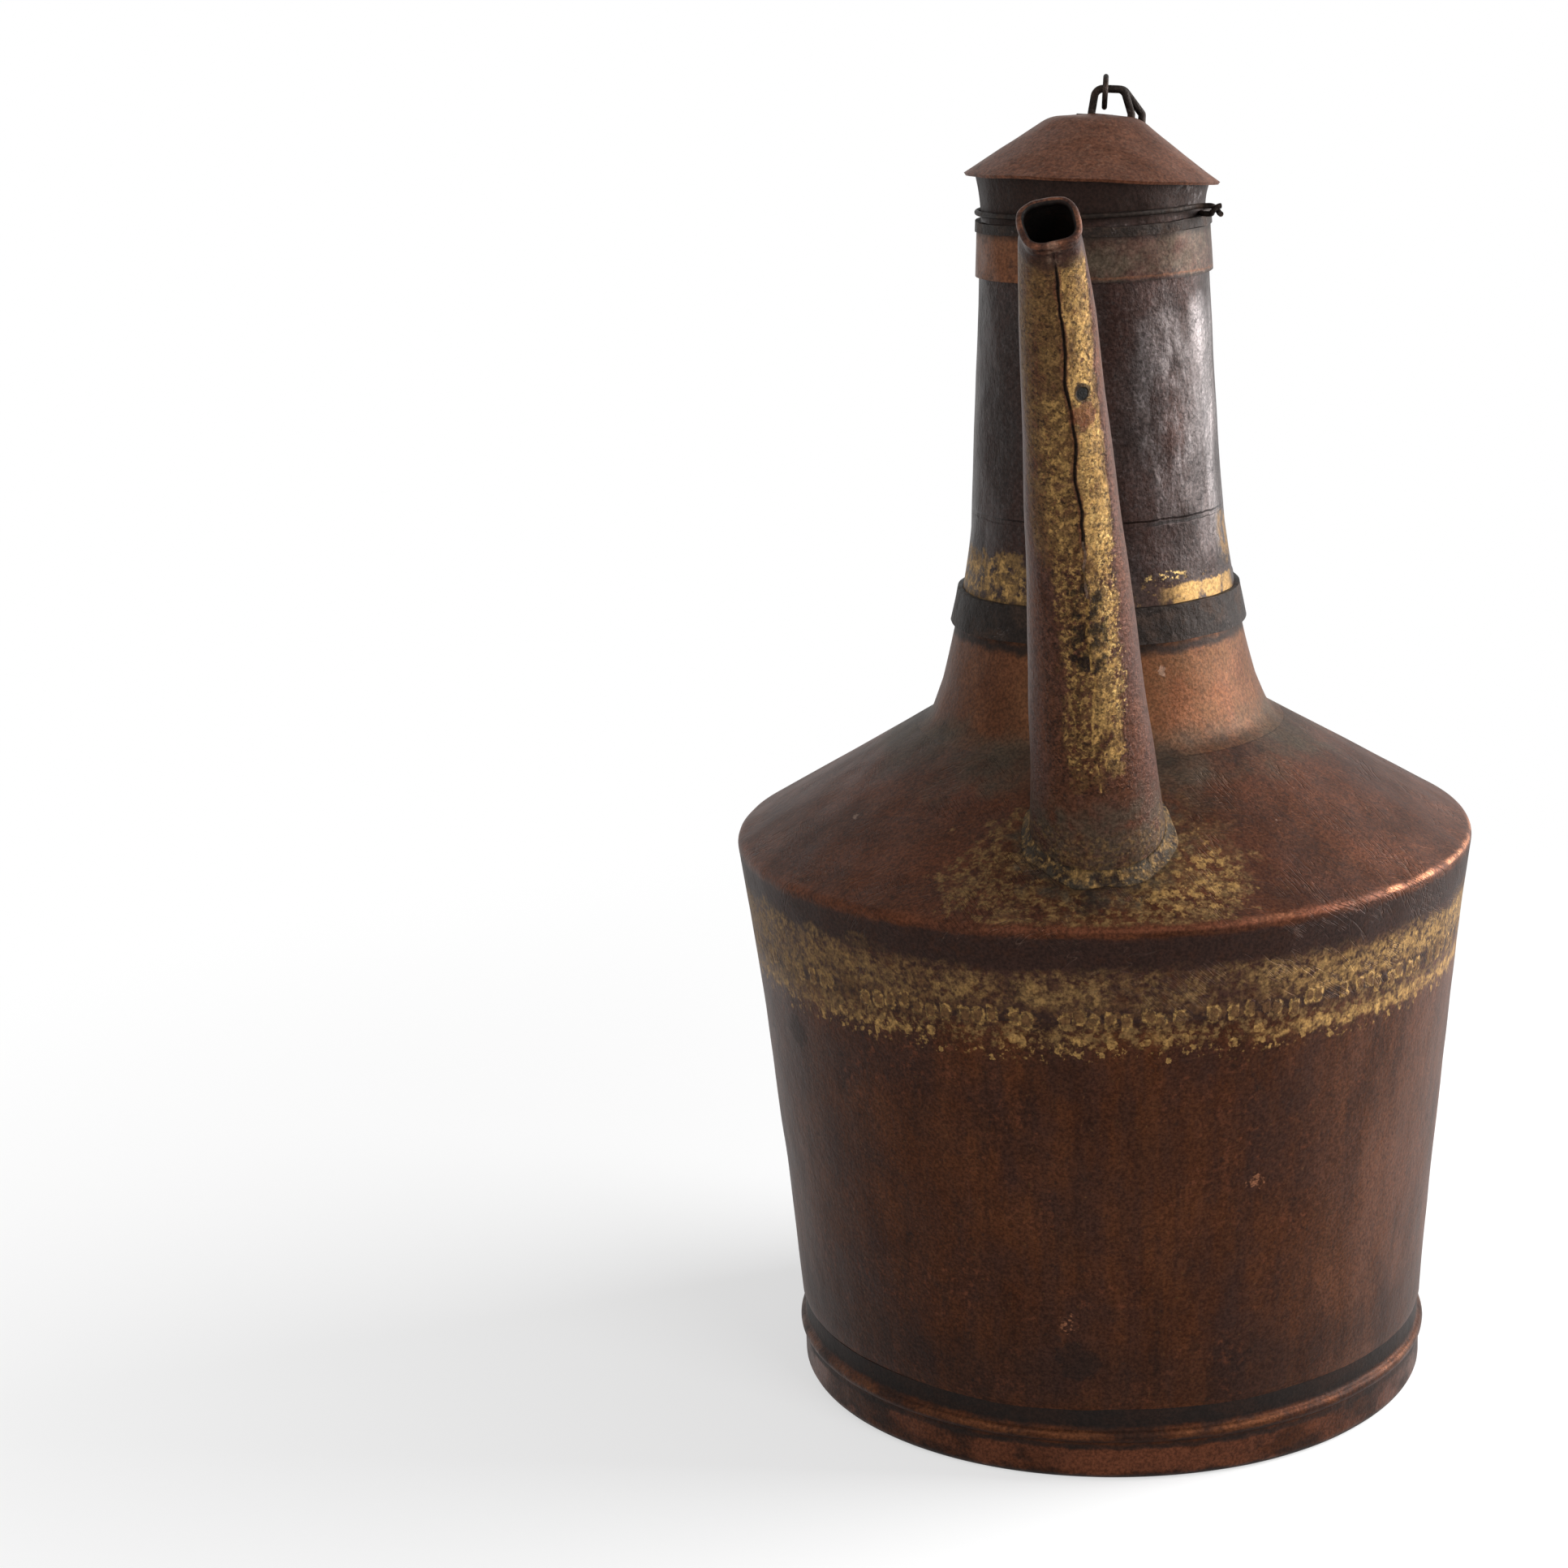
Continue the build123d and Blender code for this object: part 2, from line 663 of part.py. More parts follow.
# Spout: the seamed tube with the flange that is brazed on the shoulder
with BuildPart() as spout:
    add(spout_body(0))
    add(under_shoulder(seat_gap / cos(shoulder_lean)), mode=Mode.SUBTRACT)
    with BuildPart(mode=Mode.PRIVATE) as flange:
        add(ring_of_skin(rim_height, root_height, (seat_gap + sheet) / sin(shoulder_lean)))
        with BuildSketch(spout_plane.offset(-spout_depth)):
            Circle(spout_foot_radius + spout_flange_width)
        extrude(amount=2 * spout_depth, mode=Mode.INTERSECT)
    add(flange.part)
    add(spout_body(sheet), mode=Mode.SUBTRACT)
finish(spout, "spout")

with BuildPart() as spout_braze:
    add(ring_of_skin(rim_height, root_height, (seat_gap + sheet) / sin(shoulder_lean)))
    with BuildSketch(spout_plane.offset(-spout_depth)):
        Circle(spout_foot_radius + spout_flange_width + seat_gap + braze_leg)
        Circle(spout_foot_radius + spout_flange_width + seat_gap, mode=Mode.SUBTRACT)
    extrude(amount=2 * spout_depth, mode=Mode.INTERSECT)
finish(spout_braze, "spout_foot_braze")

with BuildPart() as spout_lip:
    tip = spout_bend_plane(spout_tip_turn).offset(spout_lip_radius + seat_gap)
    with BuildSketch(Plane(tip.origin, x_dir=tip.x_dir, z_dir=-tip.y_dir)):
        with Locations((spout_tip_radius - sheet / 2, 0)):
            Circle(spout_lip_radius)
    revolve(axis=Axis(tip.origin, tip.z_dir))
finish(spout_lip, "spout_lip")

# Handle: one forged bar from the band, out over the grip and back to the collar
foot_line = Vector(0, -sin(collar_lean), cos(collar_lean))
with BuildPart() as handle:
    toe = foot_middle - foot_line * (collar_width / 2 + handle_toe_drop)
    heel = foot_middle + foot_line * (collar_width / 2 + handle_lower_bend / 2)
    with BuildLine() as handle_path:
        FilletPolyline(
            (0, handle_foot_place, handle_foot_height),
            (0, handle_foot_place, handle_arm_height),
            (0, handle_reach, handle_arm_height),
            (0, handle_reach, handle_low_height),
            heel,
            toe,
            radius=[handle_upper_bend, handle_grip_bend, handle_grip_bend, handle_lower_bend],
        )
    with BuildSketch(Plane(handle_path.line @ 0, x_dir=(1, 0, 0), z_dir=(0, 0, 1))):
        RectangleRounded(handle_width, handle_thickness, handle_edge)
    sweep()
    add(
        ring_of_skin(
            collar_height - handle_toe_drop - overrun,
            collar_top + handle_lower_bend,
            bind_gap + seat_gap + strap_iron,
            2 * handle_thickness,
        ),
        mode=Mode.SUBTRACT,
    )
    add(
        ring_of_skin(
            handle_foot_height - overrun,
            strap_height,
            bind_gap + seat_gap + sheet,
            2 * handle_thickness,
        ),
        mode=Mode.SUBTRACT,
    )
    add(rivet_bores(neck_rivet_seats, neck_rivet_grip), mode=Mode.SUBTRACT)
    add(rivet_bores(collar_rivet_seats, collar_rivet_grip), mode=Mode.SUBTRACT)
    add(rivet_bores(bracket_rivet_seats, bracket_rivet_grip), mode=Mode.SUBTRACT)
finish(handle, "handle")


# Wire loop: each strand goes through the lid on both sides
def loop_wire(right, back, radius):
    """One wire strand of the loop: two legs through the lid and a level top."""
    section = lid_section.offset(-back)
    with BuildPart() as strand:
        with BuildLine(section) as path:
            FilletPolyline(
                (loop_left, lid_top - loop_clench),
                (loop_left, lid_top + loop_wire_radius),
                (loop_top_left, lid_top + loop_rise),
                (loop_top_right, lid_top + loop_rise),
                (right, lid_top + loop_wire_radius),
                (right, lid_top - loop_clench),
                radius=[loop_bend / 2, loop_bend, loop_bend, loop_bend / 2],
            )
        start = path.line @ 0
        with BuildSketch(Plane(start, x_dir=lid_plane.x_dir, z_dir=lid_plane.z_dir)):
            Circle(radius)
        sweep()
    return strand.part


loop_strands = (
    (loop_right, loop_set_back),
    (loop_outer_right, loop_set_back + loop_strand_gap),
)
strap_rivet_seats = []
strap_grip = sheet + strap_iron + 2 * seat_gap
strap_normal = lid_plane.z_dir * cos(slope) + lid_plane.y_dir * sin(slope)
for distance in strap_rivet_places:
    height = lid_edge + (lid_radius - distance) * tan(slope)
    foot = lid_plane.from_local_coords(Vector(0, distance, height))
    seat = foot + strap_normal * (seat_gap + strap_iron)
    strap_rivet_seats.append(Plane(seat, x_dir=lid_plane.x_dir, z_dir=strap_normal))

# Lid: the cone with its flattened top
with BuildPart() as lid:
    with BuildSketch(lid_section):
        with BuildLine():
            FilletPolyline(
                (lid_radius, lid_edge),
                (lid_top_radius, lid_top),
                (0, lid_top + lid_crown),
                radius=lid_top_bend,
            )
            offset(amount=sheet, side=Side.LEFT)
        make_face()
        Rectangle(lid_radius, mouth_height, align=(Align.MIN, Align.CENTER), mode=Mode.INTERSECT)
    revolve(axis=lid_axis)
    for right, back in loop_strands:
        add(loop_wire(right, back, loop_wire_radius + seat_gap), mode=Mode.SUBTRACT)
    add(rivet_bores(strap_rivet_seats, strap_grip), mode=Mode.SUBTRACT)
finish(lid, "lid_cone")

with BuildPart() as sleeve:
    sleeve_radius = neck_top_radius - sheet - sleeve_clearance
    sleeve_top = lid_under + (lid_radius - sleeve_radius) * tan(slope) - seat_gap
    with BuildSketch(lid_section):
        with BuildLine():
            Polyline(
                (sleeve_radius, -sleeve_depth),
                (sleeve_radius, sleeve_top),
                (sleeve_radius - sheet, sleeve_top + sheet * tan(slope)),
                (sleeve_radius - sheet, -sleeve_depth),
                close=True,
            )
        make_face()
    revolve(axis=lid_axis)
finish(sleeve, "lid_sleeve")

# Hinge: the iron strap on the lid with its barrel, the bracket on the handle, and the pin
hinge_line = lid_edge + (seat_gap + strap_iron / 2) * cos(slope)
hinge_edge = lid_radius + (seat_gap + strap_iron / 2) * sin(slope)
hinge_out = hinge_edge + hinge_offset * cos(slope)
hinge_up = hinge_line - hinge_offset * sin(slope)
hinge = lid_plane.from_local_coords(Vector(0, hinge_out, hinge_up))
hinge_plane = Plane(hinge, x_dir=lid_plane.y_dir, z_dir=lid_plane.x_dir)
barrel_radius = pin_radius + pin_clearance + barrel_wall

with BuildPart() as lid_strap:
    strap_low = seat_gap / cos(slope)
    strap_high = (seat_gap + strap_iron) / cos(slope)
    reach_in = hinge_out - lid_strap_length - hinge_offset
    with BuildSketch(lid_section):
        with BuildLine():
            Polyline(
                (hinge_out, lid_edge - (hinge_out - lid_radius) * tan(slope) + strap_low),
                (reach_in, lid_edge + (lid_radius - reach_in) * tan(slope) + strap_low),
                (reach_in, lid_edge + (lid_radius - reach_in) * tan(slope) + strap_high),
                (hinge_out, lid_edge - (hinge_out - lid_radius) * tan(slope) + strap_high),
                close=True,
            )
        make_face()
    revolve(axis=lid_axis)
    with BuildSketch(lid_plane.offset(-hinge_offset * 2)):
        with Locations((0, (hinge_out + reach_in) / 2)):
            SlotOverall(hinge_out - reach_in + lid_strap_width, lid_strap_width, rotation=90)
        with Locations((0, hinge_out + lid_strap_width)):
            Rectangle(2 * lid_strap_width, 2 * lid_strap_width, mode=Mode.SUBTRACT)
    extrude(amount=2 * lid_radius, mode=Mode.INTERSECT)
    with BuildSketch(hinge_plane.offset(-lid_strap_width / 2)):
        Circle(barrel_radius)
    extrude(amount=lid_strap_width)
    with BuildSketch(hinge_plane.offset(-lid_strap_width)):
        Circle(pin_radius + pin_clearance)
    extrude(amount=2 * lid_strap_width, mode=Mode.SUBTRACT)
    add(rivet_bores(strap_rivet_seats, strap_grip), mode=Mode.SUBTRACT)
finish(lid_strap, "lid_hinge_strap")

ear_inner = lid_strap_width / 2 + barrel_end_gap
bracket_front = hinge.Y - ear_radius
with BuildPart() as bracket:
    for side in (-1, 1):
        low_side = ear_inner if side > 0 else -ear_inner - strap_iron
        with BuildSketch(hinge_plane.offset(low_side)):
            Circle(ear_radius)
            with Locations((0, -ear_radius * 2)):
                Rectangle(2 * ear_radius, ear_radius * 4)
        extrude(amount=strap_iron)
    with BuildSketch(Plane.XY.offset(arm_top + seat_gap)):
        with Locations((0, (bracket_front + bracket_back) / 2)):
            RectangleRounded(2 * (ear_inner + strap_iron), bracket_back - bracket_front, handle_edge)
    extrude(amount=strap_iron)
    split(bisect_by=Plane.XY.offset(arm_top + seat_gap), keep=Keep.TOP)
    with BuildSketch(hinge_plane.offset(-2 * lid_strap_width)):
        Circle(pin_radius + pin_seat_gap)
    extrude(amount=4 * lid_strap_width, mode=Mode.SUBTRACT)
    add(rivet_bores(bracket_rivet_seats, bracket_rivet_grip), mode=Mode.SUBTRACT)
finish(bracket, "hinge_bracket")

with BuildPart() as pin:
    pin_half = ear_inner + strap_iron + seat_gap
    with BuildSketch(hinge_plane.offset(-pin_half)):
        Circle(pin_radius)
    extrude(amount=2 * pin_half)
    for side in (-1, 1):
        with BuildSketch(hinge_plane.offset(side * pin_half)):
            Circle(pin_head_radius)
        extrude(amount=side * pin_head_height)
    rims = edges().filter_by(GeomType.CIRCLE).group_by(Axis(hinge, lid_plane.x_dir))
    chamfer(rims[0] + rims[-1], pin_head_height / 3)
finish(pin, "hinge_pin")

# Rivets
with BuildPart() as neck_rivets:
    add(rivets(neck_rivet_seats, neck_rivet_grip + sheet / 3))
finish(neck_rivets, "upper_handle_rivets")

with BuildPart() as collar_rivet:
    add(rivets(collar_rivet_seats, collar_rivet_grip + sheet / 3))
finish(collar_rivet, "lower_handle_rivet")

with BuildPart() as bracket_rivets:
    add(rivets(bracket_rivet_seats, bracket_rivet_grip + seat_gap))
finish(bracket_rivets, "bracket_rivets")

with BuildPart() as strap_rivets:
    add(rivets(strap_rivet_seats, strap_grip + seat_gap))
finish(strap_rivets, "lid_strap_rivets")

# Wire loop on the lid, and the link that hangs in it
with BuildPart() as front_loop:
    add(loop_wire(*loop_strands[0], loop_wire_radius))
finish(front_loop, "lid_loop_front")

with BuildPart() as back_loop:
    add(loop_wire(*loop_strands[1], loop_wire_radius))
finish(back_loop, "lid_loop_back")

link_x = loop_top_left + (loop_top_right - loop_top_left) * link_place_share
link_back = loop_set_back + loop_strand_gap / 2
link_pivot = lid_plane.from_local_coords(Vector(link_x, link_back, lid_top + loop_rise))
link_up = lid_plane.x_dir.cross(Vector(0, 1, 0)).normalized()
bars_reach = loop_strand_gap / 2 + loop_wire_radius
link_centre = link_pivot - link_up * (link_radius - link_wire_radius - bars_reach - link_play)
with BuildPart() as link:
    with BuildSketch(Plane(link_centre, x_dir=(0, 1, 0), z_dir=link_up)):
        with Locations((link_radius, 0)):
            Circle(link_wire_radius)
    revolve(axis=Axis(link_centre, lid_plane.x_dir))
finish(link, "lid_link")

print("lid hinge at", hinge, "along", lid_plane.x_dir)
print("link pivot at", link_pivot)
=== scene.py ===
"""Dresses the copper pitcher: dented copper sheet, braze stains, forged iron and wire.

Every piece is built in metres in the pitcher's own frame. The origin is the middle of the flat
bottom, +Z is up, the spout points to -Y and the handle to +Y.
"""

from collections import namedtuple
from math import acos, atan2, cos, exp, hypot, pi, radians, sin, tan

import bpy
from bpy.props import FloatProperty, FloatVectorProperty, IntProperty, PointerProperty
from mathutils import Matrix, Vector, noise


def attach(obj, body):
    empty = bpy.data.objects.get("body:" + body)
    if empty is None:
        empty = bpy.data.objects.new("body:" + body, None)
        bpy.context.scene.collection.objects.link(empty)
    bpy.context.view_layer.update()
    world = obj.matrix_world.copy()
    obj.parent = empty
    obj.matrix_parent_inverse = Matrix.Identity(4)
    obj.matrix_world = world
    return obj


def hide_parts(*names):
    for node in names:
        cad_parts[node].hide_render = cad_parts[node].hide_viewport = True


bl_info = {
    "name": "Copper pitcher",
    "version": (1, 0, 0),
    "blender": (4, 5, 0),
    "location": "3D View > Sidebar > Pitcher",
    "description": "Builds an old copper pitcher with a long spout and a hinged lid",
    "category": "Object",
}

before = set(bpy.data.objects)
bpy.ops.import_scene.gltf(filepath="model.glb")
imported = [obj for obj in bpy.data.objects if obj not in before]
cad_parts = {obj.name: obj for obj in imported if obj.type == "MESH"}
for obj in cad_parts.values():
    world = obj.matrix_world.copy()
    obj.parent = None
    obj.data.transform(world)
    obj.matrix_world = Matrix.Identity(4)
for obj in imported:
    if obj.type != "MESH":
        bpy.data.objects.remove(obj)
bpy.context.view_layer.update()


def length(name, description, default):
    """A size in metres."""
    return FloatProperty(
        name=name, description=description, default=default, unit="LENGTH", precision=4
    )


def angle(name, description, default):
    """An angle, given in degrees."""
    return FloatProperty(
        name=name, description=description, default=radians(default), subtype="ANGLE"
    )


def colour(name, description, default):
    """A linear colour."""
    return FloatVectorProperty(
        name=name, description=description, default=default, subtype="COLOR", size=3, min=0, max=1
    )


class VesselSizes(bpy.types.PropertyGroup):
    """Outline of belly, shoulder and neck."""

    sheet: length("Sheet", "Thickness of the copper sheet", 0.0012)
    foot_radius: length("Foot radius", "Foot band, above the bent corner", 0.1159)
    foot_height: length("Foot height", "Floor to the lower edge of the belly wall", 0.0256)
    foot_corner: length("Foot corner", "Bend between the bottom and the foot band", 0.0032)
    bead_height: length("Bead height", "Floor to the middle of the bead", 0.0165)
    bead_radius: length("Bead radius", "Section radius of the bead", 0.0024)
    bead_proud: length("Bead proud", "How far the bead stands out", 0.0015)
    belly_hollow: length("Belly hollow", "How far the belly wall curves in", 0.0012)
    seam_height: length("Seam height", "Middle of the belly's toothed seam", 0.173)
    rim_radius: length("Rim radius", "Sharp rim of the shoulder", 0.1338)
    rim_height: length("Rim height", "Height of that rim", 0.2065)
    rim_bend: length("Rim bend", "Length over which the rim is rounded", 0.0026)
    root_radius: length("Root radius", "Where the cone meets the neck", 0.0615)
    root_height: length("Root height", "Height of that corner", 0.2494)
    root_bend: length("Root bend", "Length over which that corner is rounded", 0.0036)
    flare_radius: length("Flare radius", "Top of the flare above the cone", 0.0566)
    flare_height: length("Flare height", "Height of the flare's top", 0.2618)
    throat_radius: length("Throat radius", "Middle of the curve to the neck", 0.0498)
    throat_height: length("Throat height", "Height of that middle", 0.2895)
    flare_seam_height: length("Flare seam height", "Lap between shoulder and flare", 0.2465)
    neck_seam_height: length("Neck seam height", "Middle of the neck's toothed seam", 0.304)
    neck_foot_radius: length("Neck foot radius", "Lower end of the straight neck", 0.0452)
    neck_foot_height: length("Neck foot height", "Height of the straight neck's foot", 0.318)
    neck_top_radius: length("Neck top radius", "Where the mouth begins to flare", 0.039)
    neck_top_height: length("Neck top height", "Height where the flare begins", 0.429)
    mouth_radius: length("Mouth radius", "Edge of the mouth", 0.0409)
    mouth_height: length("Mouth height", "Height of the mouth on the axis", 0.4406)
    mouth_waist: length("Mouth waist", "How far the mouth's flare is hollowed", 0.0004)
    side_tilt: angle("Side tilt", "How far the mouth is high on the left", 4.0)
    front_tilt: angle("Front tilt", "How far the mouth is high at the spout", 3.4)
    dent_depth: length("Dent depth", "Slow dents of the whole vessel", 0.0007)
    dent_width: length("Dent width", "Width of such a dent", 0.055)
    knock_depth: length("Knock depth", "Small knocks in the sheet", 0.00016)
    knock_width: length("Knock width", "Width of a small knock", 0.014)
    around: IntProperty(name="Around", description="Steps round the vessel", default=288, min=24)


class TrimSizes(bpy.types.PropertyGroup):
    """Collar, band and strap round the neck, and the brass of the seams."""

    collar_height: length("Collar height", "Lower edge of the iron collar", 0.284)
    collar_width: length("Collar width", "Width of the iron collar", 0.0124)
    iron: length("Iron", "Thickness of the iron sheet", 0.0018)
    bind_gap: length("Binding gap", "Bands to the neck", 0.00015)
    collar_end_length: length("Loose end", "Length of the collar's loose end", 0.007)
    collar_end_lift: length("Loose end's lift", "How far the loose end stands off", 0.0034)
    collar_end_angle: angle("Loose end's place", "Behind the right-hand side", 18.0)
    band_height: length("Band height", "Lower edge of the copper band", 0.4077)
    band_width: length("Band width", "Width of the copper band", 0.0158)
    strap_width: length("Strap width", "Width of the iron strap", 0.0034)
    ripple: length("Ripple", "How uneven the edges of the iron are", 0.0006)
    teeth: IntProperty(name="Teeth", description="Teeth of the belly's seam", default=72, min=8)


class SpoutSizes(bpy.types.PropertyGroup):
    """The spout's leaning axis, its bent tip and its section."""

    seat_radius: length("Seat radius", "Pitcher's axis to the spout's foot", 0.0937)
    seat_side: length("Seat side", "The foot lies this far to the left", 0.0012)
    outward: angle("Outward lean", "Lean away from the neck", 12.5)
    side_lean: angle("Side lean", "Lean to the left", 3.3)
    straight: length("Straight length", "Length before the bend", 0.182)
    bend_radius: length("Bend radius", "Radius of the bent tip", 0.060)
    bend_turn: angle("Bend", "Turn of the bent tip", 32.5)
    foot_radius: length("Foot radius", "Outer radius at the foot", 0.0228)
    waist_radius: length("Waist radius", "Outer radius where the bend begins", 0.0121)
    tip_radius: length("Tip radius", "Outer radius at the tip", 0.0091)
    hollow: length("Hollow", "How much thinner than a cone at half length", 0.0006)
    lip_radius: length("Lip radius", "Section radius of the rolled lip", 0.00125)
    flange: length("Flange", "Width of the foot's flange", 0.004)
    seam_angle: angle("Seam", "Place of the seam, to the right of the front", 8.0)
    seam_step: length("Seam step", "How far the lapped sheet stands out", 0.0006)
    seam_depth: length("Seam depth", "Depth of the open seam", 0.0008)
    # The hole is a dent with painted shade in the spout's finish; the sheet is not cut.
    hole_along: length("Hole place", "The hole beside the seam, along the spout", 0.160)
    hole_side: length("Hole side", "That hole to the right of the seam", 0.0046)
    hole_radius: length("Hole radius", "Radius of that hole", 0.0024)


class LidSizes(bpy.types.PropertyGroup):
    """The lid's cone, in the plane of the tilted mouth."""

    radius: length("Radius", "Edge of the lid", 0.0446)
    slope: angle("Slope", "Slope of the cone", 35.5)
    top_radius: length("Top radius", "Radius of the flattened top", 0.0156)
    top_bend: length("Top bend", "Length over which the top is rounded", 0.0036)
    crown: length("Crown", "Rise of the top at its middle", 0.0012)
    edge_height: length("Edge height", "Outer edge of the lid over the mouth", -0.00033)


class Palette(bpy.types.PropertyGroup):
    """Linear colours of the metals and their stains, some also used for painted highlights, sheen
    and shade.
    """

    copper_brown: colour("Copper brown", "Old copper of the belly", (0.043, 0.0140, 0.0058))
    # also the painted highlight along the top of the foot's bead
    copper_streak_and_highlight: colour("Copper streak", "Paler streaks of the belly", (0.080, 0.028, 0.0112))
    # also the painted highlight along the shoulder's rim
    copper_red_and_highlight: colour("Copper red", "Redder copper of the shoulder", (0.090, 0.030, 0.0145))
    copper_dark: colour("Copper dark", "Darkened copper", (0.0150, 0.0072, 0.0050))
    copper_purple: colour("Copper purple", "Purple oxide", (0.029, 0.0138, 0.0105))
    # also the painted highlight on the rim's right-hand side
    copper_bright_and_highlight: colour("Copper bright", "Worn, bright copper", (0.62, 0.26, 0.13))
    copper_orange: colour("Copper orange", "Clean copper of band and flare", (0.108, 0.043, 0.020))
    # also the painted reflection on the belly's right-hand edge
    copper_pink_and_sheen: colour("Copper pink", "Dusty copper of the lid", (0.118, 0.047, 0.026))
    spout_brown: colour("Spout brown", "Bare copper of the spout", (0.066, 0.029, 0.020))
    tin_dark: colour("Tin dark", "Blackened tinned copper of the neck", (0.0225, 0.0158, 0.0142))
    # also the painted highlight down the neck's right-hand edge
    tin_grey_and_sheen: colour("Tin grey", "Worn tin", (0.19, 0.168, 0.165))
    brass_yellow: colour("Brass yellow", "Braze stains", (0.35, 0.205, 0.066))
    brass_pale: colour("Brass pale", "Pale braze", (0.60, 0.40, 0.145))
    brass_olive: colour("Brass olive", "Dusty braze", (0.150, 0.086, 0.031))
    brass_brown: colour("Brass brown", "Darkened braze", (0.080, 0.038, 0.0145))
    green_grey: colour("Green grey", "Verdigris at the roots", (0.046, 0.036, 0.024))
    # also painted shade in the foot's groove, the neck's crease, the root's corner, under the
    # collar, in the spout's open seam and in its hole
    soot_and_shade: colour("Soot", "Black dirt", (0.0065, 0.0048, 0.0040))
    iron_dark: colour("Iron dark", "Forged iron", (0.0150, 0.0105, 0.0085))
    iron_rust: colour("Iron rust", "Rust on the iron", (0.036, 0.021, 0.0145))
    dust: colour("Dust", "Pale dust and scratches", (0.25, 0.165, 0.12))
    floor: colour("Floor", "Pale floor", (0.86, 0.86, 0.86))


class StageSizes(bpy.types.PropertyGroup):
    """The camera's place and lens."""

    focal_pixels: FloatProperty(
        name="Focal length", description="In pixels of the photograph", default=4000
    )
    image_pixels: FloatProperty(
        name="Image", description="Width and height in pixels", default=1932
    )
    sensor: FloatProperty(name="Sensor", description="Sensor width in millimetres", default=36)
    camera_distance: length("Distance", "Camera in front of the pitcher's axis", 1.1554)
    camera_height: length("Height", "Camera over the floor", 0.526)
    camera_turn: angle("Turn", "Camera turned to the left", 5.76)
    camera_pitch: angle("Pitch", "Camera tipped down", 14.63)
    camera_roll: angle("Roll", "Camera rolled", -2.32)


def scene_group(name):
    """One of the pitcher's property groups."""
    return getattr(bpy.context.scene, "pitcher_" + name)


def between(first, last, share):
    """The value at a share of the way from one to another."""
    return first + (last - first) * share


def shares(steps):
    """Even shares from 0 to 1."""
    return [step / steps for step in range(steps + 1)]


# Meshes

# Steps of the vessel's outline, and of a rounded corner
WALL_STEPS, CONE_STEPS, FLARE_STEPS = 48, 28, 6
THROAT_STEPS, NECK_STEPS, MOUTH_STEPS = 28, 44, 10
CORNER_STEPS = 6
# An outline's point nearer to the axis than this lies on it
ON_AXIS = 1e-6
# Places in the noise for slow dents and for small knocks
SLOW_PLACE, KNOCK_PLACE = Vector((3.1, 7.7, 1.3)), Vector((9.2, 1.4, 5.8))


def add_mesh(name, points, faces, body="pitcher"):
    """A smooth mesh object that rides on one of the pitcher's bodies."""
    mesh = bpy.data.meshes.new(name)
    mesh.from_pydata([tuple(point) for point in points], [], faces)
    mesh.validate()
    mesh.update()
    piece = bpy.data.objects.new(name, mesh)
    bpy.context.scene.collection.objects.link(piece)
    mesh.shade_smooth()
    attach(piece, body)
    return piece


def sharpen(piece, limit):
    """Edges over a limit in degrees stay sharp."""
    piece.data.set_sharp_from_angle(angle=radians(limit))


def ring_faces(rings, closed=True):
    """Faces between rings of point numbers, and from the last ring to the first."""
    faces = []
    for low, high in zip(rings, rings[1:] + rings[:1] if closed else rings[1:]):
        for step in range(len(low)):
            after = (step + 1) % len(low)
            face = list(dict.fromkeys([low[step], low[after], high[after], high[step]]))
            if len(face) > 2:
                faces.append(face)
    return faces


def dent(x, y, z):
    """How far the sheet is dented out at one place."""
    sizes = scene_group("vessel")
    place = Vector((x, y, z))
    slow = noise.noise(place / sizes.dent_width + SLOW_PLACE)
    knock = noise.noise(place / sizes.knock_width + KNOCK_PLACE)
    return sizes.dent_depth * slow + sizes.knock_depth * knock


def turned(name, outline, body="pitcher", shape=None, dents=1.0, around=None, closed=True):
    """A sheet piece turned round the axis from an outline of radius and height."""
    around = around or scene_group("vessel").around
    points, rings = [], []
    for radius, height in outline:
        start = len(points)
        if radius < ON_AXIS:
            points.append(Vector((0, 0, height)))
            rings.append([start] * around)
            continue
        for step in range(around):
            turn = 2 * pi * step / around
            x, y = cos(turn), sin(turn)
            grown = radius + dents * dent(x * radius, y * radius, height)
            points.append(Vector((x * grown, y * grown, height)))
        rings.append(list(range(start, start + around)))
    if shape:
        points = [shape(point) for point in points]
    return add_mesh(name, points, ring_faces(rings, closed), body)


def straight(start, end, steps):
    """Points between two others, without the last one."""
    return [tuple(Vector(start).lerp(Vector(end), step / steps)) for step in range(steps)]


def hollowed(start, end, hollow, steps):
    """Points of a line that is drawn in by one length at its middle."""
    points = []
    for share in shares(steps):
        radius = between(start[0], end[0], share) - 4 * hollow * share * (1 - share)
        points.append((radius, between(start[1], end[1], share)))
    return points


def arc(centre, radius, start, end, steps):
    """Points of an arc in the outline's plane, its turns counted up from level."""
    turns = [between(start, end, share) for share in shares(steps)]
    return [(centre[0] + radius * cos(turn), centre[1] + radius * sin(turn)) for turn in turns]


def round_corner(before, corner, after, bend):
    """Points of a rounded corner between two straight stretches."""
    before, corner, after = Vector(before), Vector(corner), Vector(after)
    start = corner + (before - corner).normalized() * bend
    end = corner + (after - corner).normalized() * bend
    points = []
    for share in shares(CORNER_STEPS):
        first = start.lerp(corner, share)
        points.append(tuple(first.lerp(corner.lerp(end, share), share)))
    return points


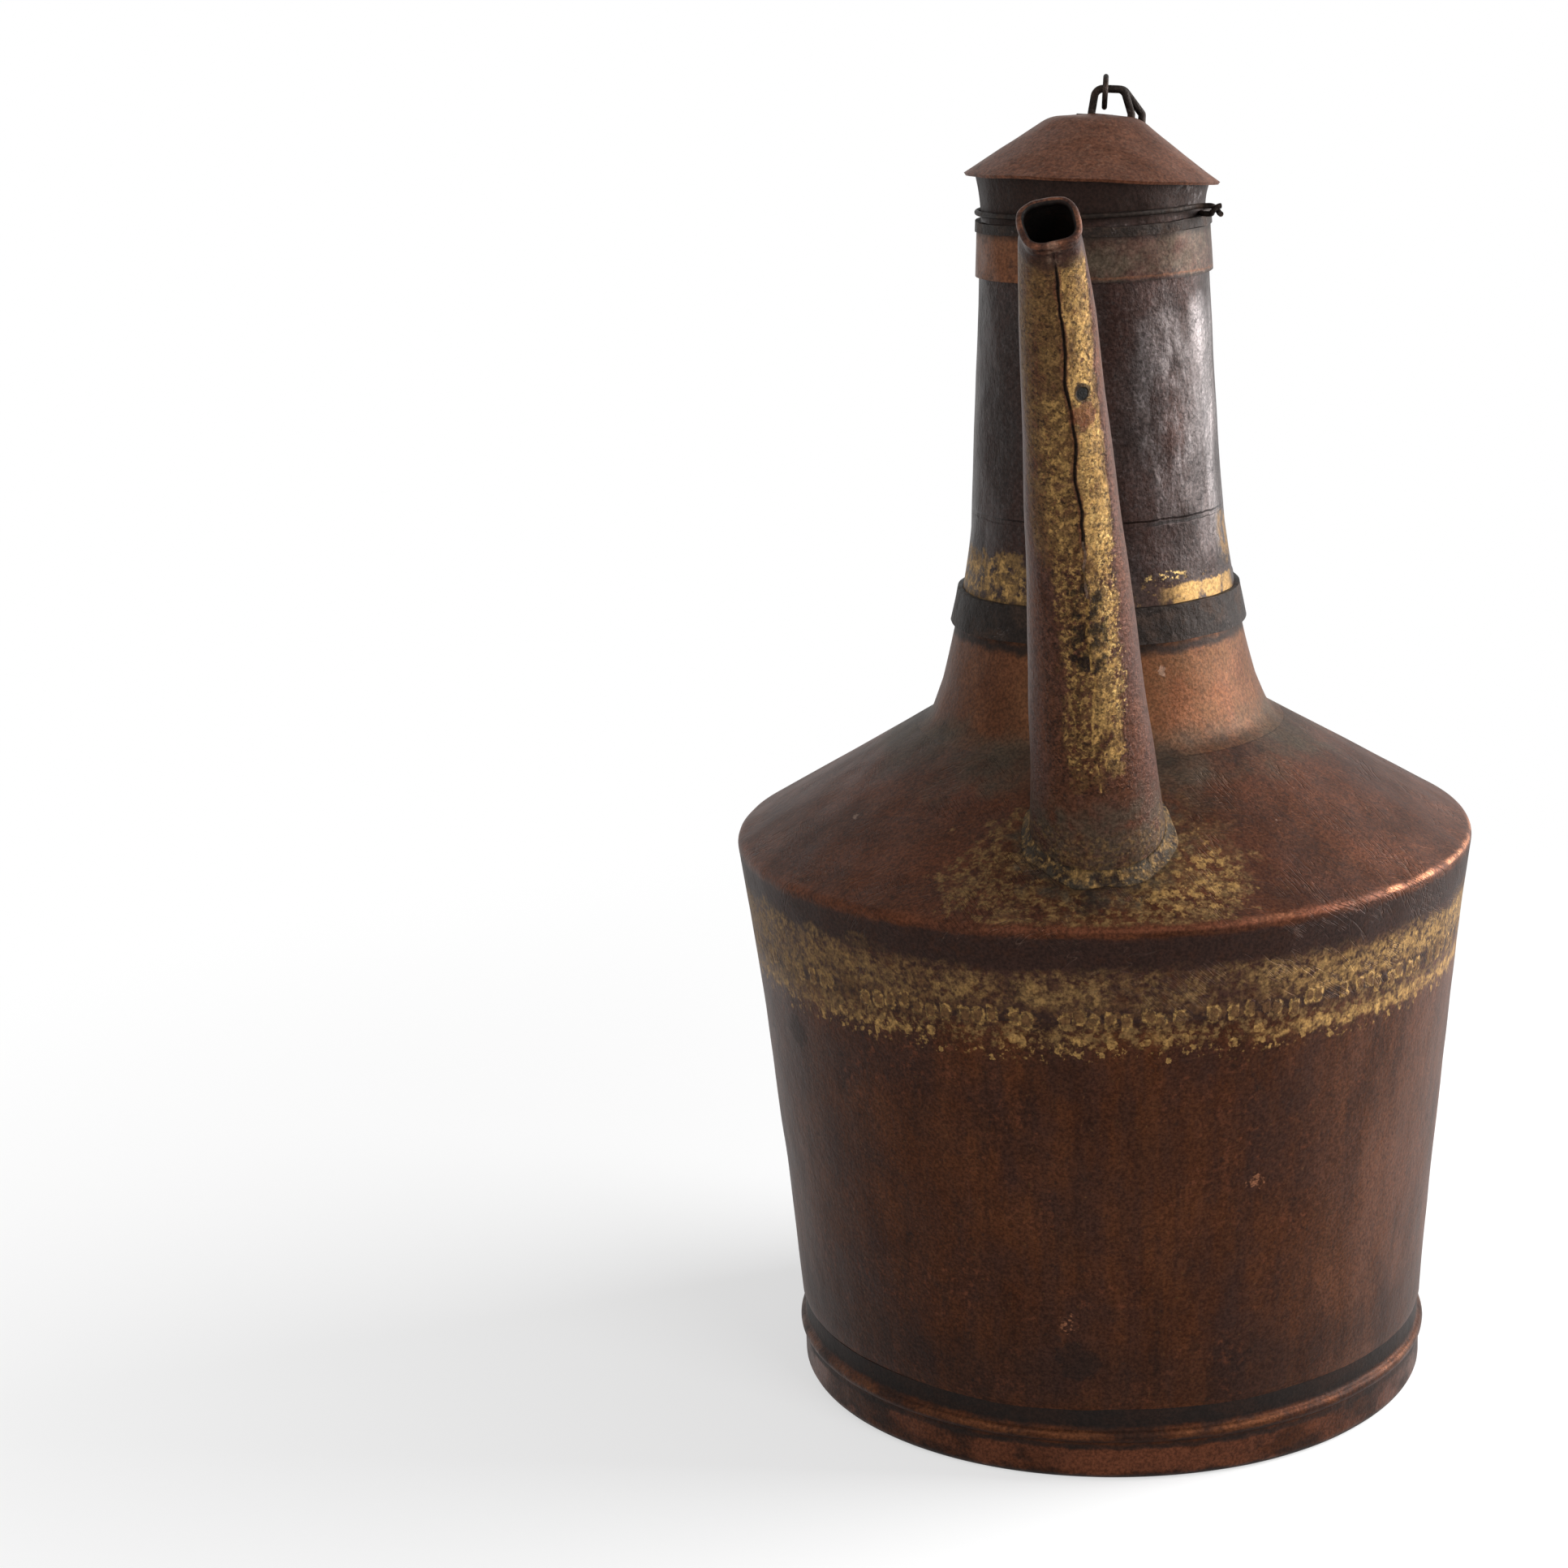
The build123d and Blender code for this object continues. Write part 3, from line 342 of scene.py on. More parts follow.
def vessel_outline():
    """Outer radius and height from the belly's foot to the mouth, one line."""
    sizes = scene_group("vessel")
    foot = (sizes.foot_radius, sizes.foot_height)
    rim = (sizes.rim_radius, sizes.rim_height)
    root = (sizes.root_radius, sizes.root_height)
    flare = (sizes.flare_radius, sizes.flare_height)
    neck_foot = (sizes.neck_foot_radius, sizes.neck_foot_height)
    neck_top = (sizes.neck_top_radius, sizes.neck_top_height)
    mouth = (sizes.mouth_radius, sizes.mouth_height)

    wall = hollowed(foot, rim, sizes.belly_hollow, WALL_STEPS)
    points = [point for point in wall if point[1] < sizes.rim_height - sizes.rim_bend]
    rim_points = round_corner(points[-1], rim, root, sizes.rim_bend)
    root_points = round_corner(rim, root, flare, sizes.root_bend)
    points += rim_points
    points += straight(rim_points[-1], root_points[0], CONE_STEPS)[1:]
    points += root_points
    points += straight(root_points[-1], flare, FLARE_STEPS)[1:]

    # the throat's hollow makes it pass through its named middle
    middle = (sizes.throat_height - flare[1]) / (neck_foot[1] - flare[1])
    chord = between(flare[0], neck_foot[0], middle)
    hollow = (chord - sizes.throat_radius) / (4 * middle * (1 - middle))
    points += hollowed(flare, neck_foot, hollow, THROAT_STEPS)[:-1]
    points += straight(neck_foot, neck_top, NECK_STEPS)
    return points + hollowed(neck_top, mouth, sizes.mouth_waist, MOUTH_STEPS)


def cone_height(radius):
    """Height of the shoulder's cone at a distance from the axis."""
    sizes = scene_group("vessel")
    slope = (sizes.root_height - sizes.rim_height) / (sizes.rim_radius - sizes.root_radius)
    return sizes.rim_height + slope * (sizes.rim_radius - radius)


def outline_between(low, high, grow=0.0):
    """The vessel's outer line between two heights, moved out by one length."""
    line = vessel_outline()
    kept = []
    for (r1, z1), (r2, z2) in zip(line, line[1:]):
        for edge in (low, high):
            if z1 < edge < z2:
                kept.append((between(r1, r2, (edge - z1) / (z2 - z1)), edge))
        if low <= z2 <= high:
            kept.append((r2, z2))
    kept.sort(key=lambda point: point[1])
    return [(radius + grow, height) for radius, height in kept]


def sheet_between(low, high, wall, grow=0.0):
    """Closed outline of a sheet between two heights of the vessel."""
    outer = outline_between(low, high, grow)
    inner = []
    for index, (radius, height) in enumerate(outer):
        before = outer[max(index - 1, 0)]
        after = outer[min(index + 1, len(outer) - 1)]
        run, rise = after[0] - before[0], after[1] - before[1]
        across = max(hypot(run, rise), 1e-9)
        inner.append((radius - wall * rise / across, height + wall * run / across))
    inner[0] = (inner[0][0], low)
    inner[-1] = (inner[-1][0], high)
    return outer + inner[::-1]


def lid_matrix():
    """Turns the lid's own plane into the pitcher's frame."""
    sizes = scene_group("vessel")
    x_axis = Vector((cos(sizes.side_tilt), 0, -sin(sizes.side_tilt)))
    up = Vector((0, sin(sizes.front_tilt), cos(sizes.front_tilt)))
    z_axis = Matrix.Rotation(sizes.side_tilt, 3, "Y") @ up
    y_axis = z_axis.cross(x_axis)
    turn = Matrix((x_axis, y_axis, z_axis)).transposed().to_4x4()
    return Matrix.Translation((0, 0, sizes.mouth_height)) @ turn


# Finishes

# Detail sharpness of every cloud, and how far clouds move a ragged edge, in ragged lengths
CLOUD_ROUGHNESS, RAGGED_REACH = 0.62, 4.0
# Size of the wobble of a tooth mark's edge, and how square the mark is
TOOTH_WOBBLE_SIZE, TOOTH_SQUARENESS = 0.0022, 3.0
# What every finish has: its fine grain and the shine of what isn't metal
GRAIN = {"Size": 0.0011, "Seed": 140.0}
SPECULAR = 0.15


def put(tree, kind, inputs=None, **settings):
    """A shader node with its settings, values and links."""
    node = tree.nodes.new(kind)
    for key, value in settings.items():
        setattr(node, key, value)
    for key, value in (inputs or {}).items():
        if isinstance(value, bpy.types.NodeSocket):
            tree.links.new(value, node.inputs[key])
        else:
            node.inputs[key].default_value = value
    return node


def blend_colours(tree, share, first, second, way="MIX"):
    """Two colours mixed by a mask."""
    mix = put(tree, "ShaderNodeMix", data_type="RGBA", blend_type=way)
    for slot, value in ((0, share), (6, first), (7, second)):
        if isinstance(value, bpy.types.NodeSocket):
            tree.links.new(value, mix.inputs[slot])
        else:
            mix.inputs[slot].default_value = value if slot == 0 else (*value, 1)
    return mix.outputs[2]


def blend_values(tree, share, first, second):
    """Two values mixed by a mask."""
    mix = put(tree, "ShaderNodeMix", {0: share, 2: first, 3: second}, data_type="FLOAT")
    return mix.outputs[0]


def calculate(tree, way, first, second=0.0, third=0.0):
    """One step of arithmetic."""
    return put(tree, "ShaderNodeMath", {0: first, 1: second, 2: third}, operation=way).outputs[0]


def vector_step(tree, way, first, second):
    """The outputs of one step of vector arithmetic."""
    return put(tree, "ShaderNodeVectorMath", {0: first, 1: second}, operation=way).outputs


def soften(tree, value, low, high, start=0.0, end=1.0):
    """A smooth step of a value between two limits."""
    inputs = {"Value": value, "From Min": low, "From Max": high, "To Min": start, "To Max": end}
    return put(tree, "ShaderNodeMapRange", inputs, interpolation_type="SMOOTHSTEP").outputs[0]


def new_effect(name, inputs):
    """An empty effect group that puts out a mask."""
    tree = bpy.data.node_groups.new(name, "ShaderNodeTree")
    for label, default in inputs.items():
        kind = "NodeSocketVector" if isinstance(default, tuple) else "NodeSocketFloat"
        socket = tree.interface.new_socket(label, in_out="INPUT", socket_type=kind)
        socket.default_value = default
    tree.interface.new_socket("Mask", in_out="OUTPUT", socket_type="NodeSocketFloat")
    given = tree.nodes.new("NodeGroupInput").outputs
    place = put(tree, "ShaderNodeTexCoord").outputs["Object"]
    return tree, given, place


def close_effect(tree, mask):
    """Links the mask to the group's output."""
    tree.links.new(mask, tree.nodes.new("NodeGroupOutput").inputs["Mask"])


def stretched(tree, place, size, stretch, seed):
    """A place in units of one size, drawn out along Z and moved by a seed."""
    scale = calculate(tree, "DIVIDE", 1.0, size)
    tall = calculate(tree, "DIVIDE", scale, stretch)
    factor = put(tree, "ShaderNodeCombineXYZ", {"X": scale, "Y": scale, "Z": tall}).outputs[0]
    scaled = vector_step(tree, "MULTIPLY", place, factor)[0]
    shift = put(tree, "ShaderNodeCombineXYZ", {"X": seed, "Y": seed, "Z": seed}).outputs[0]
    return vector_step(tree, "ADD", scaled, shift)[0]


def clouds(tree, vector, detail=7.0):
    """Noise from 0 to 1."""
    inputs = {"Vector": vector, "Scale": 1.0, "Detail": detail, "Roughness": CLOUD_ROUGHNESS}
    return put(tree, "ShaderNodeTexNoise", inputs).outputs["Fac"]


def centred(tree, value):
    """A value from 0 to 1, moved to lie about 0."""
    return calculate(tree, "SUBTRACT", value, 0.5)


def ragged_shift(tree, place, given, stretch=1.0):
    """How far the clouds move an edge, by the effect's ragged length."""
    cloud = clouds(tree, stretched(tree, place, given["Size"], stretch, given["Seed"]))
    shift = calculate(tree, "MULTIPLY", centred(tree, cloud), given["Ragged"])
    return calculate(tree, "MULTIPLY", shift, RAGGED_REACH)


def window(tree, value, low, high, soft):
    """1 between two limits, with soft edges inside them."""
    rising = soften(tree, value, low, calculate(tree, "ADD", low, soft))
    falling = soften(tree, value, calculate(tree, "SUBTRACT", high, soft), high, 1.0, 0.0)
    return calculate(tree, "MULTIPLY", rising, falling)


def grain_effect():
    """Fine darker and lighter specks, from 0.62 to 1.3 for multiplying a colour."""
    tree, given, place = new_effect("Grain", {"Size": 0.001, "Seed": 0.0})
    specks = clouds(tree, stretched(tree, place, given["Size"], 1.0, given["Seed"]), 2.0)
    close_effect(tree, soften(tree, specks, 0.30, 0.70, 0.62, 1.30))


def blotches_effect():
    """Cloudy patches."""
    inputs = {"Size": 0.02, "Stretch": 1.0, "Low": 0.45, "High": 0.6, "Seed": 0.0}
    tree, given, place = new_effect("Blotches", inputs)
    patches = clouds(tree, stretched(tree, place, given["Size"], given["Stretch"], given["Seed"]))
    close_effect(tree, soften(tree, patches, given["Low"], given["High"]))


def height_band_effect():
    """A level band with ragged edges."""
    inputs = {"Lower": 0.0, "Upper": 0.1, "Soft": 0.002, "Ragged": 0.004, "Size": 0.01, "Seed": 0.0}
    tree, given, place = new_effect("Height band", inputs)
    height = put(tree, "ShaderNodeSeparateXYZ", {0: place}).outputs["Z"]
    height = calculate(tree, "ADD", height, ragged_shift(tree, place, given))
    close_effect(tree, window(tree, height, given["Lower"], given["Upper"], given["Soft"]))


def spot_effect():
    """A ball round one place, with a ragged edge."""
    inputs = {"Centre": (0.0, 0.0, 0.0), "Radius": 0.01, "Ragged": 0.3, "Size": 0.006, "Seed": 0.0}
    tree, given, place = new_effect("Spot", inputs)
    away = vector_step(tree, "DISTANCE", place, given["Centre"])["Value"]
    share = calculate(tree, "DIVIDE", away, given["Radius"])
    share = calculate(tree, "ADD", share, ragged_shift(tree, place, given))
    close_effect(tree, soften(tree, share, 0.75, 1.0, 1.0, 0.0))


def scratches_effect():
    """Thin lines, broken by clouds, that the seed turns to one direction."""
    inputs = {"Size": 0.02, "Stretch": 0.1, "Width": 0.012, "Seed": 0.0}
    tree, given, place = new_effect("Scratches", inputs)
    turn = {"Vector": place, "Axis": (0.3, 0.5, 0.8), "Angle": given["Seed"]}
    turned_place = put(tree, "ShaderNodeVectorRotate", turn).outputs[0]
    vector = stretched(tree, turned_place, given["Size"], given["Stretch"], given["Seed"])
    ridge = calculate(tree, "ABSOLUTE", centred(tree, clouds(tree, vector, 2.0)))
    line = soften(tree, ridge, 0.0, given["Width"], 1.0, 0.0)
    broken = clouds(tree, stretched(tree, place, given["Size"], 1.0, given["Seed"]), 3.0)
    close_effect(tree, calculate(tree, "MULTIPLY", line, soften(tree, broken, 0.5, 0.62)))


def hammer_effect():
    """Shallow round marks of a hammer."""
    tree, given, place = new_effect("Hammer marks", {"Size": 0.012, "Stretch": 1.0, "Seed": 0.0})
    vector = stretched(tree, place, given["Size"], given["Stretch"], given["Seed"])
    inputs = {"Vector": vector, "Scale": 1.0, "Smoothness": 0.6}
    marks = put(tree, "ShaderNodeTexVoronoi", inputs, feature="SMOOTH_F1")
    close_effect(tree, marks.outputs["Distance"])


def side_effect():
    """What lies on one side of the pitcher's axis."""
    inputs = {"Direction": (1.0, 0.0, 0.0), "Low": 0.5, "High": 0.9}
    tree, given, place = new_effect("Side", inputs)
    flat = vector_step(tree, "MULTIPLY", place, (1, 1, 0))[0]
    way = put(tree, "ShaderNodeVectorMath", {0: flat}, operation="NORMALIZE").outputs[0]
    towards = vector_step(tree, "DOT_PRODUCT", way, given["Direction"])["Value"]
    close_effect(tree, soften(tree, towards, given["Low"], given["High"]))


def seam_strip_effect():
    """A ragged strip along the spout, measured from its seam."""
    inputs = {
        "Left": -0.01, "Right": 0.01, "Low": 0.0, "High": 0.1, "Soft": 0.002, "Ragged": 0.004,
        "Size": 0.008, "Seed": 0.0,
    }
    tree, given, place = new_effect("Seam strip", inputs)
    shift = ragged_shift(tree, place, given, 1.5)
    along_seam = put(tree, "ShaderNodeUVMap", uv_map="along").outputs[0]
    split = put(tree, "ShaderNodeSeparateXYZ", {0: along_seam}).outputs
    side = calculate(tree, "ADD", split["X"], shift)
    along = calculate(tree, "ADD", split["Y"], calculate(tree, "MULTIPLY", shift, 2.0))
    across = window(tree, side, given["Left"], given["Right"], given["Soft"])
    lengthwise = window(tree, along, given["Low"], given["High"], given["Soft"])
    close_effect(tree, calculate(tree, "MULTIPLY", across, lengthwise))


def tooth_row_effect():
    """A row of squarish marks round the vessel, each a little out of place, some missing."""
    inputs = {
        "Height": 0.17, "Count": 144.0, "Pitch": 0.0055, "Width": 0.0017, "Tall": 0.0024,
        "Seed": 0.0, "Spread": 0.0012, "Missing": 0.25,
    }
    tree, given, place = new_effect("Tooth row", inputs)
    split = put(tree, "ShaderNodeSeparateXYZ", {0: place}).outputs
    turn = calculate(tree, "ARCTAN2", split["Y"], split["X"])
    per_radian = calculate(tree, "DIVIDE", given["Count"], 2 * pi)
    turn = calculate(tree, "MULTIPLY", turn, per_radian)
    cell = calculate(tree, "ADD", calculate(tree, "FLOOR", turn), given["Seed"])
    chance = put(tree, "ShaderNodeTexWhiteNoise", {"W": cell}, noise_dimensions="1D")
    random = put(tree, "ShaderNodeSeparateColor", {0: chance.outputs["Color"]}).outputs
    cloud = clouds(tree, stretched(tree, place, TOOTH_WOBBLE_SIZE, 1.0, given["Seed"]), 4.0)
    wobble = calculate(tree, "MULTIPLY", centred(tree, cloud), given["Spread"])

    side = centred(tree, calculate(tree, "FRACT", turn))
    side = calculate(tree, "MULTIPLY", side, given["Pitch"])
    jump = calculate(tree, "MULTIPLY", centred(tree, random[0]), given["Spread"])
    side = calculate(tree, "ADD", calculate(tree, "ADD", side, jump), wobble)
    side = calculate(tree, "DIVIDE", side, given["Width"])
    rise = calculate(tree, "SUBTRACT", split["Z"], given["Height"])
    lift = calculate(tree, "MULTIPLY", centred(tree, random[1]), given["Spread"])
    rise = calculate(tree, "ADD", rise, calculate(tree, "SUBTRACT", lift, wobble))
    rise = calculate(tree, "DIVIDE", rise, given["Tall"])

    squares = []
    for value in (side, rise):
        size = calculate(tree, "ABSOLUTE", value)
        squares.append(calculate(tree, "POWER", size, TOOTH_SQUARENESS))
    blob = soften(tree, calculate(tree, "ADD", *squares), 0.45, 1.0, 1.0, 0.0)
    there = calculate(tree, "GREATER_THAN", random[2], given["Missing"])
    close_effect(tree, calculate(tree, "MULTIPLY", blob, there))


def make_effects():
    """The shader node groups that the finishes share."""
    grain_effect()
    blotches_effect()
    height_band_effect()
    spot_effect()
    scratches_effect()
    hammer_effect()
    side_effect()
    seam_strip_effect()
    tooth_row_effect()


def effects_mask(tree, effects):
    """The product of the masks of one or more effects."""
    mask = None
    for name, values in effects:
        group = put(tree, "ShaderNodeGroup", values, node_tree=bpy.data.node_groups[name])
        part = group.outputs["Mask"]
        mask = part if mask is None else calculate(tree, "MULTIPLY", mask, part)
    return mask


def lay_finish(name, base, rough, metal, layers, bumps):
    """A metal finish: a base with stains, painted highlights and painted shade laid over it one by
    one, and bumps.

    A layer is the effects whose masks it lies in, its colour, roughness, metal and strength.
    A bump is the effects whose masks it lies in and its height in metres.
    """
    palette = scene_group("palette")
    material = bpy.data.materials.new(name)
    material.use_nodes = True
    tree = material.node_tree
    tree.nodes.clear()
    shade, shine, sheen = tuple(getattr(palette, base)), rough, metal
    for effects, tint, layer_rough, layer_metal, strength in layers:
        mask = calculate(tree, "MULTIPLY", effects_mask(tree, effects), strength)
        shade = blend_colours(tree, mask, shade, tuple(getattr(palette, tint)))
        shine = blend_values(tree, mask, shine, layer_rough)
        sheen = blend_values(tree, mask, sheen, layer_metal)
    grain = effects_mask(tree, [("Grain", GRAIN)])
    shade = blend_colours(tree, 1.0, shade, grain, "MULTIPLY")
    height = 0.0
    for effects, depth in bumps:
        part = calculate(tree, "MULTIPLY", effects_mask(tree, effects), depth)
        height = calculate(tree, "ADD", height, part)
    bump = put(tree, "ShaderNodeBump", {"Strength": 1.0, "Distance": 1.0, "Height": height})
    inputs = {
        "Base Color": shade,
        "Roughness": shine,
        "Metallic": sheen,
        "Specular IOR Level": SPECULAR,
        "Normal": bump.outputs[0],
    }
    shader = put(tree, "ShaderNodeBsdfPrincipled", inputs)
    put(tree, "ShaderNodeOutputMaterial", {0: shader.outputs[0]})
    return material


def dress(piece, material):
    """Gives a piece its finish."""
    piece.data.materials.append(material)


def dress_node(name, material):
    """Gives a carried-over node its finish."""
    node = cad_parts[name]
    if not node.material_slots:
        node.data.materials.append(material)
    for holder in node.material_slots:
        holder.material = material


def blotches(size, low, high, seed, stretch=1.0):
    """A cloudy mask."""
    return ("Blotches", {"Size": size, "Low": low, "High": high, "Seed": seed, "Stretch": stretch})


# Bumps that most finishes share
FINE_GRAIN = ([blotches(0.0016, 0.3, 0.75, 4.0)], 0.00006)
SLOW_WAVES = ([blotches(0.03, 0.2, 0.8, 2.0)], 0.0004)


def hammered(size, depth, seed, stretch=1.0):
    """A bump of hammer marks."""
    return ([("Hammer marks", {"Size": size, "Seed": seed, "Stretch": stretch})], depth)


def zone(lower, upper, soft, ragged, size=0.01, seed=0.0):
    """A ragged level band between two heights."""
    values = {"Lower": lower, "Upper": upper, "Soft": soft}
    values.update({"Ragged": ragged, "Size": size, "Seed": seed})
    return ("Height band", values)


def spot(centre, radius, ragged, size, seed=0.0):
    """A ragged round spot."""
    values = {"Centre": centre, "Radius": radius, "Ragged": ragged, "Size": size, "Seed": seed}
    return ("Spot", values)


def scratches(size, stretch, width, seed):
    """Broken thin lines."""
    return ("Scratches", {"Size": size, "Stretch": stretch, "Width": width, "Seed": seed})


def facing(x, y, low, high):
    """What faces one side."""
    return ("Side", {"Direction": (x, y, 0.0), "Low": low, "High": high})


def strip(left, right, low, high, ragged, size, seed, soft=0.001):
    """A ragged strip along the spout's seam."""
    values = {"Left": left, "Right": right, "Low": low, "High": high, "Soft": soft}
    values.update({"Ragged": ragged, "Size": size, "Seed": seed})
    return ("Seam strip", values)


def teeth(height, width, tall, seed, missing, spread):
    """A row of marks left by the seam's teeth."""
    trim, vessel = scene_group("trim"), scene_group("vessel")
    count = 2.0 * trim.teeth
    values = {"Height": height, "Width": width, "Tall": tall, "Seed": seed, "Missing": missing}
    values.update({"Count": count, "Pitch": 2 * pi * vessel.rim_radius / count, "Spread": spread})
    return ("Tooth row", values)


def tooth_bump():
    """The main row of tooth marks, standing out a little."""
    return ([teeth(0.1745, 0.0020, 0.0028, 5.0, 0.2, 0.0034)], 0.0003)


def seam_layers():
    """Braze stains along the belly's toothed seam."""
    left = facing(-0.93, -0.36, 0.80, 0.97)
    right = facing(0.90, -0.44, 0.70, 0.95)
    dusty = blotches(0.0022, 0.36, 0.64, 18.0)
    return [
        ([zone(0.1905, 0.2045, 0.003, 0.0015)], "copper_dark", 0.55, 0.5, 0.6),
        ([zone(0.1755, 0.1935, 0.005, 0.0035, 0.012, 3.0), blotches(0.008, 0.34, 0.62, 8.0), dusty],
         "brass_brown", 0.6, 0.3, 0.9),
        ([zone(0.1755, 0.1935, 0.005, 0.0035, 0.012, 3.5), blotches(0.012, 0.38, 0.60, 8.5), dusty],
         "brass_olive", 0.6, 0.3, 0.85),
        ([zone(0.1775, 0.1900, 0.004, 0.004, 0.007, 5.0), blotches(0.0040, 0.46, 0.66, 19.0),
          blotches(0.025, 0.42, 0.60, 17.0)], "brass_yellow", 0.6, 0.3, 0.45),
        ([zone(0.1690, 0.1785, 0.003, 0.0015, 0.006, 6.0)], "copper_dark", 0.6, 0.4, 0.5),
        ([zone(0.1685, 0.1805, 0.003, 0.002, 0.006, 6.5), blotches(0.0030, 0.46, 0.62, 7.0)],
         "brass_brown", 0.6, 0.4, 0.8),
        ([teeth(0.1745, 0.0028, 0.0035, 5.0, 0.2, 0.0034), blotches(0.014, 0.36, 0.52, 10.0),
          dusty], "brass_yellow", 0.55, 0.4, 0.85),
        ([teeth(0.1745, 0.0017, 0.0022, 5.0, 0.2, 0.0034)], "brass_brown", 0.6, 0.4, 0.85),
        ([zone(0.1622, 0.1700, 0.0022, 0.0028, 0.005, 7.0), blotches(0.0036, 0.46, 0.60, 28.0),
          blotches(0.014, 0.42, 0.58, 29.0)], "brass_yellow", 0.55, 0.4, 0.65),
        ([zone(0.1640, 0.1725, 0.0022, 0.0028, 0.005, 7.5), blotches(0.0026, 0.46, 0.62, 30.0)],
         "brass_olive", 0.55, 0.4, 0.75),
        ([teeth(0.1655, 0.0021, 0.0018, 9.0, 0.45, 0.0042), dusty],
         "brass_yellow", 0.55, 0.4, 0.65),
        ([teeth(0.1612, 0.0011, 0.0011, 13.0, 0.6, 0.0050)], "brass_yellow", 0.55, 0.4, 0.55),
        ([zone(0.1580, 0.1650, 0.0025, 0.003, 0.004, 8.0), blotches(0.0022, 0.56, 0.65, 31.0)],
         "brass_yellow", 0.55, 0.4, 0.5),
        ([left, zone(0.163, 0.197, 0.004, 0.006, 0.012, 9.0), blotches(0.009, 0.30, 0.60, 32.0),
          dusty], "brass_olive", 0.6, 0.3, 0.95),
        ([right, zone(0.162, 0.168, 0.002, 0.002, 0.006, 9.0), dusty],
         "brass_yellow", 0.6, 0.3, 0.7),
        ([right, zone(0.176, 0.190, 0.003, 0.003, 0.006, 9.5), dusty],
         "brass_yellow", 0.6, 0.3, 0.45),
    ]


def belly_copper():
    """Brown copper of the belly with faint upright streaks, a painted reflection on its right-hand
    edge and the braze stains under the rim.
    """
    layers = [
        ([blotches(0.008, 0.36, 0.72, 1.0, 7.0)], "copper_streak_and_highlight", 0.48, 0.85, 0.40),
        ([blotches(0.030, 0.40, 0.66, 11.0, 1.3)], "copper_streak_and_highlight", 0.46, 0.85, 0.45),
        ([blotches(0.0030, 0.46, 0.68, 12.0, 1.2)], "copper_streak_and_highlight", 0.48, 0.85, 0.45),
        ([blotches(0.012, 0.48, 0.66, 6.0, 5.0)], "copper_dark", 0.55, 0.7, 0.50),
        ([blotches(0.009, 0.42, 0.68, 6.5, 6.0)], "copper_purple", 0.5, 0.8, 0.5),
        ([blotches(0.040, 0.44, 0.66, 9.0)], "copper_purple", 0.5, 0.8, 0.65),
        # painted reflection: paler pink copper on the belly's right-hand edge
        ([facing(0.94, -0.34, 0.72, 1.0), blotches(0.020, 0.30, 0.70, 9.8, 3.0)],
         "copper_pink_and_sheen", 0.5, 0.7, 0.7),
        ([blotches(0.0070, 0.50, 0.66, 14.5, 2.0), blotches(0.05, 0.44, 0.60, 15.5)],
         "copper_dark", 0.5, 0.7, 0.45),
        ([blotches(0.0032, 0.58, 0.72, 14.0)], "soot_and_shade", 0.6, 0.5, 0.5),
        ([blotches(0.0028, 0.52, 0.66, 15.0), blotches(0.03, 0.46, 0.6, 16.0)],
         "copper_red_and_highlight", 0.5, 0.8, 0.7),
        ([blotches(0.0016, 0.62, 0.70, 13.0)], "brass_brown", 0.5, 0.7, 0.6),
        ([zone(0.024, 0.055, 0.012, 0.004, 0.02, 2.0)], "copper_dark", 0.5, 0.6, 0.35),
        *seam_layers(),
        ([spot((0.051, -0.112, 0.110), 0.0030, 0.8, 0.0025), blotches(0.0018, 0.42, 0.60, 33.0)],
         "copper_bright_and_highlight", 0.4, 0.9, 0.30),
        ([spot((-0.014, -0.117, 0.060), 0.0034, 0.9, 0.002), blotches(0.0015, 0.46, 0.60, 34.0)],
         "copper_bright_and_highlight", 0.4, 0.9, 0.22),
        ([spot((-0.010, -0.116, 0.045), 0.0085, 0.5, 0.006)], "soot_and_shade", 0.6, 0.5, 0.5),
        ([spot((-0.105, -0.065, 0.150), 0.0075, 0.5, 0.006)], "soot_and_shade", 0.6, 0.5, 0.4),
    ]
    bumps = [FINE_GRAIN, SLOW_WAVES, tooth_bump()]
    return lay_finish("belly_copper", "copper_brown", 0.50, 0.85, layers, bumps)


def root_layers():
    """Green-grey patina round the root of the neck, and painted shade in its corner."""
    return [
        ([zone(0.233, 0.259, 0.009, 0.007, 0.02), blotches(0.03, 0.30, 0.62, 35.0)],
         "green_grey", 0.6, 0.5, 0.75),
        # painted shade: darker in the corner where the cone meets the neck
        ([zone(0.240, 0.253, 0.005, 0.005, 0.01, 3.0), blotches(0.02, 0.46, 0.68, 36.0)],
         "soot_and_shade", 0.6, 0.4, 0.55),
    ]


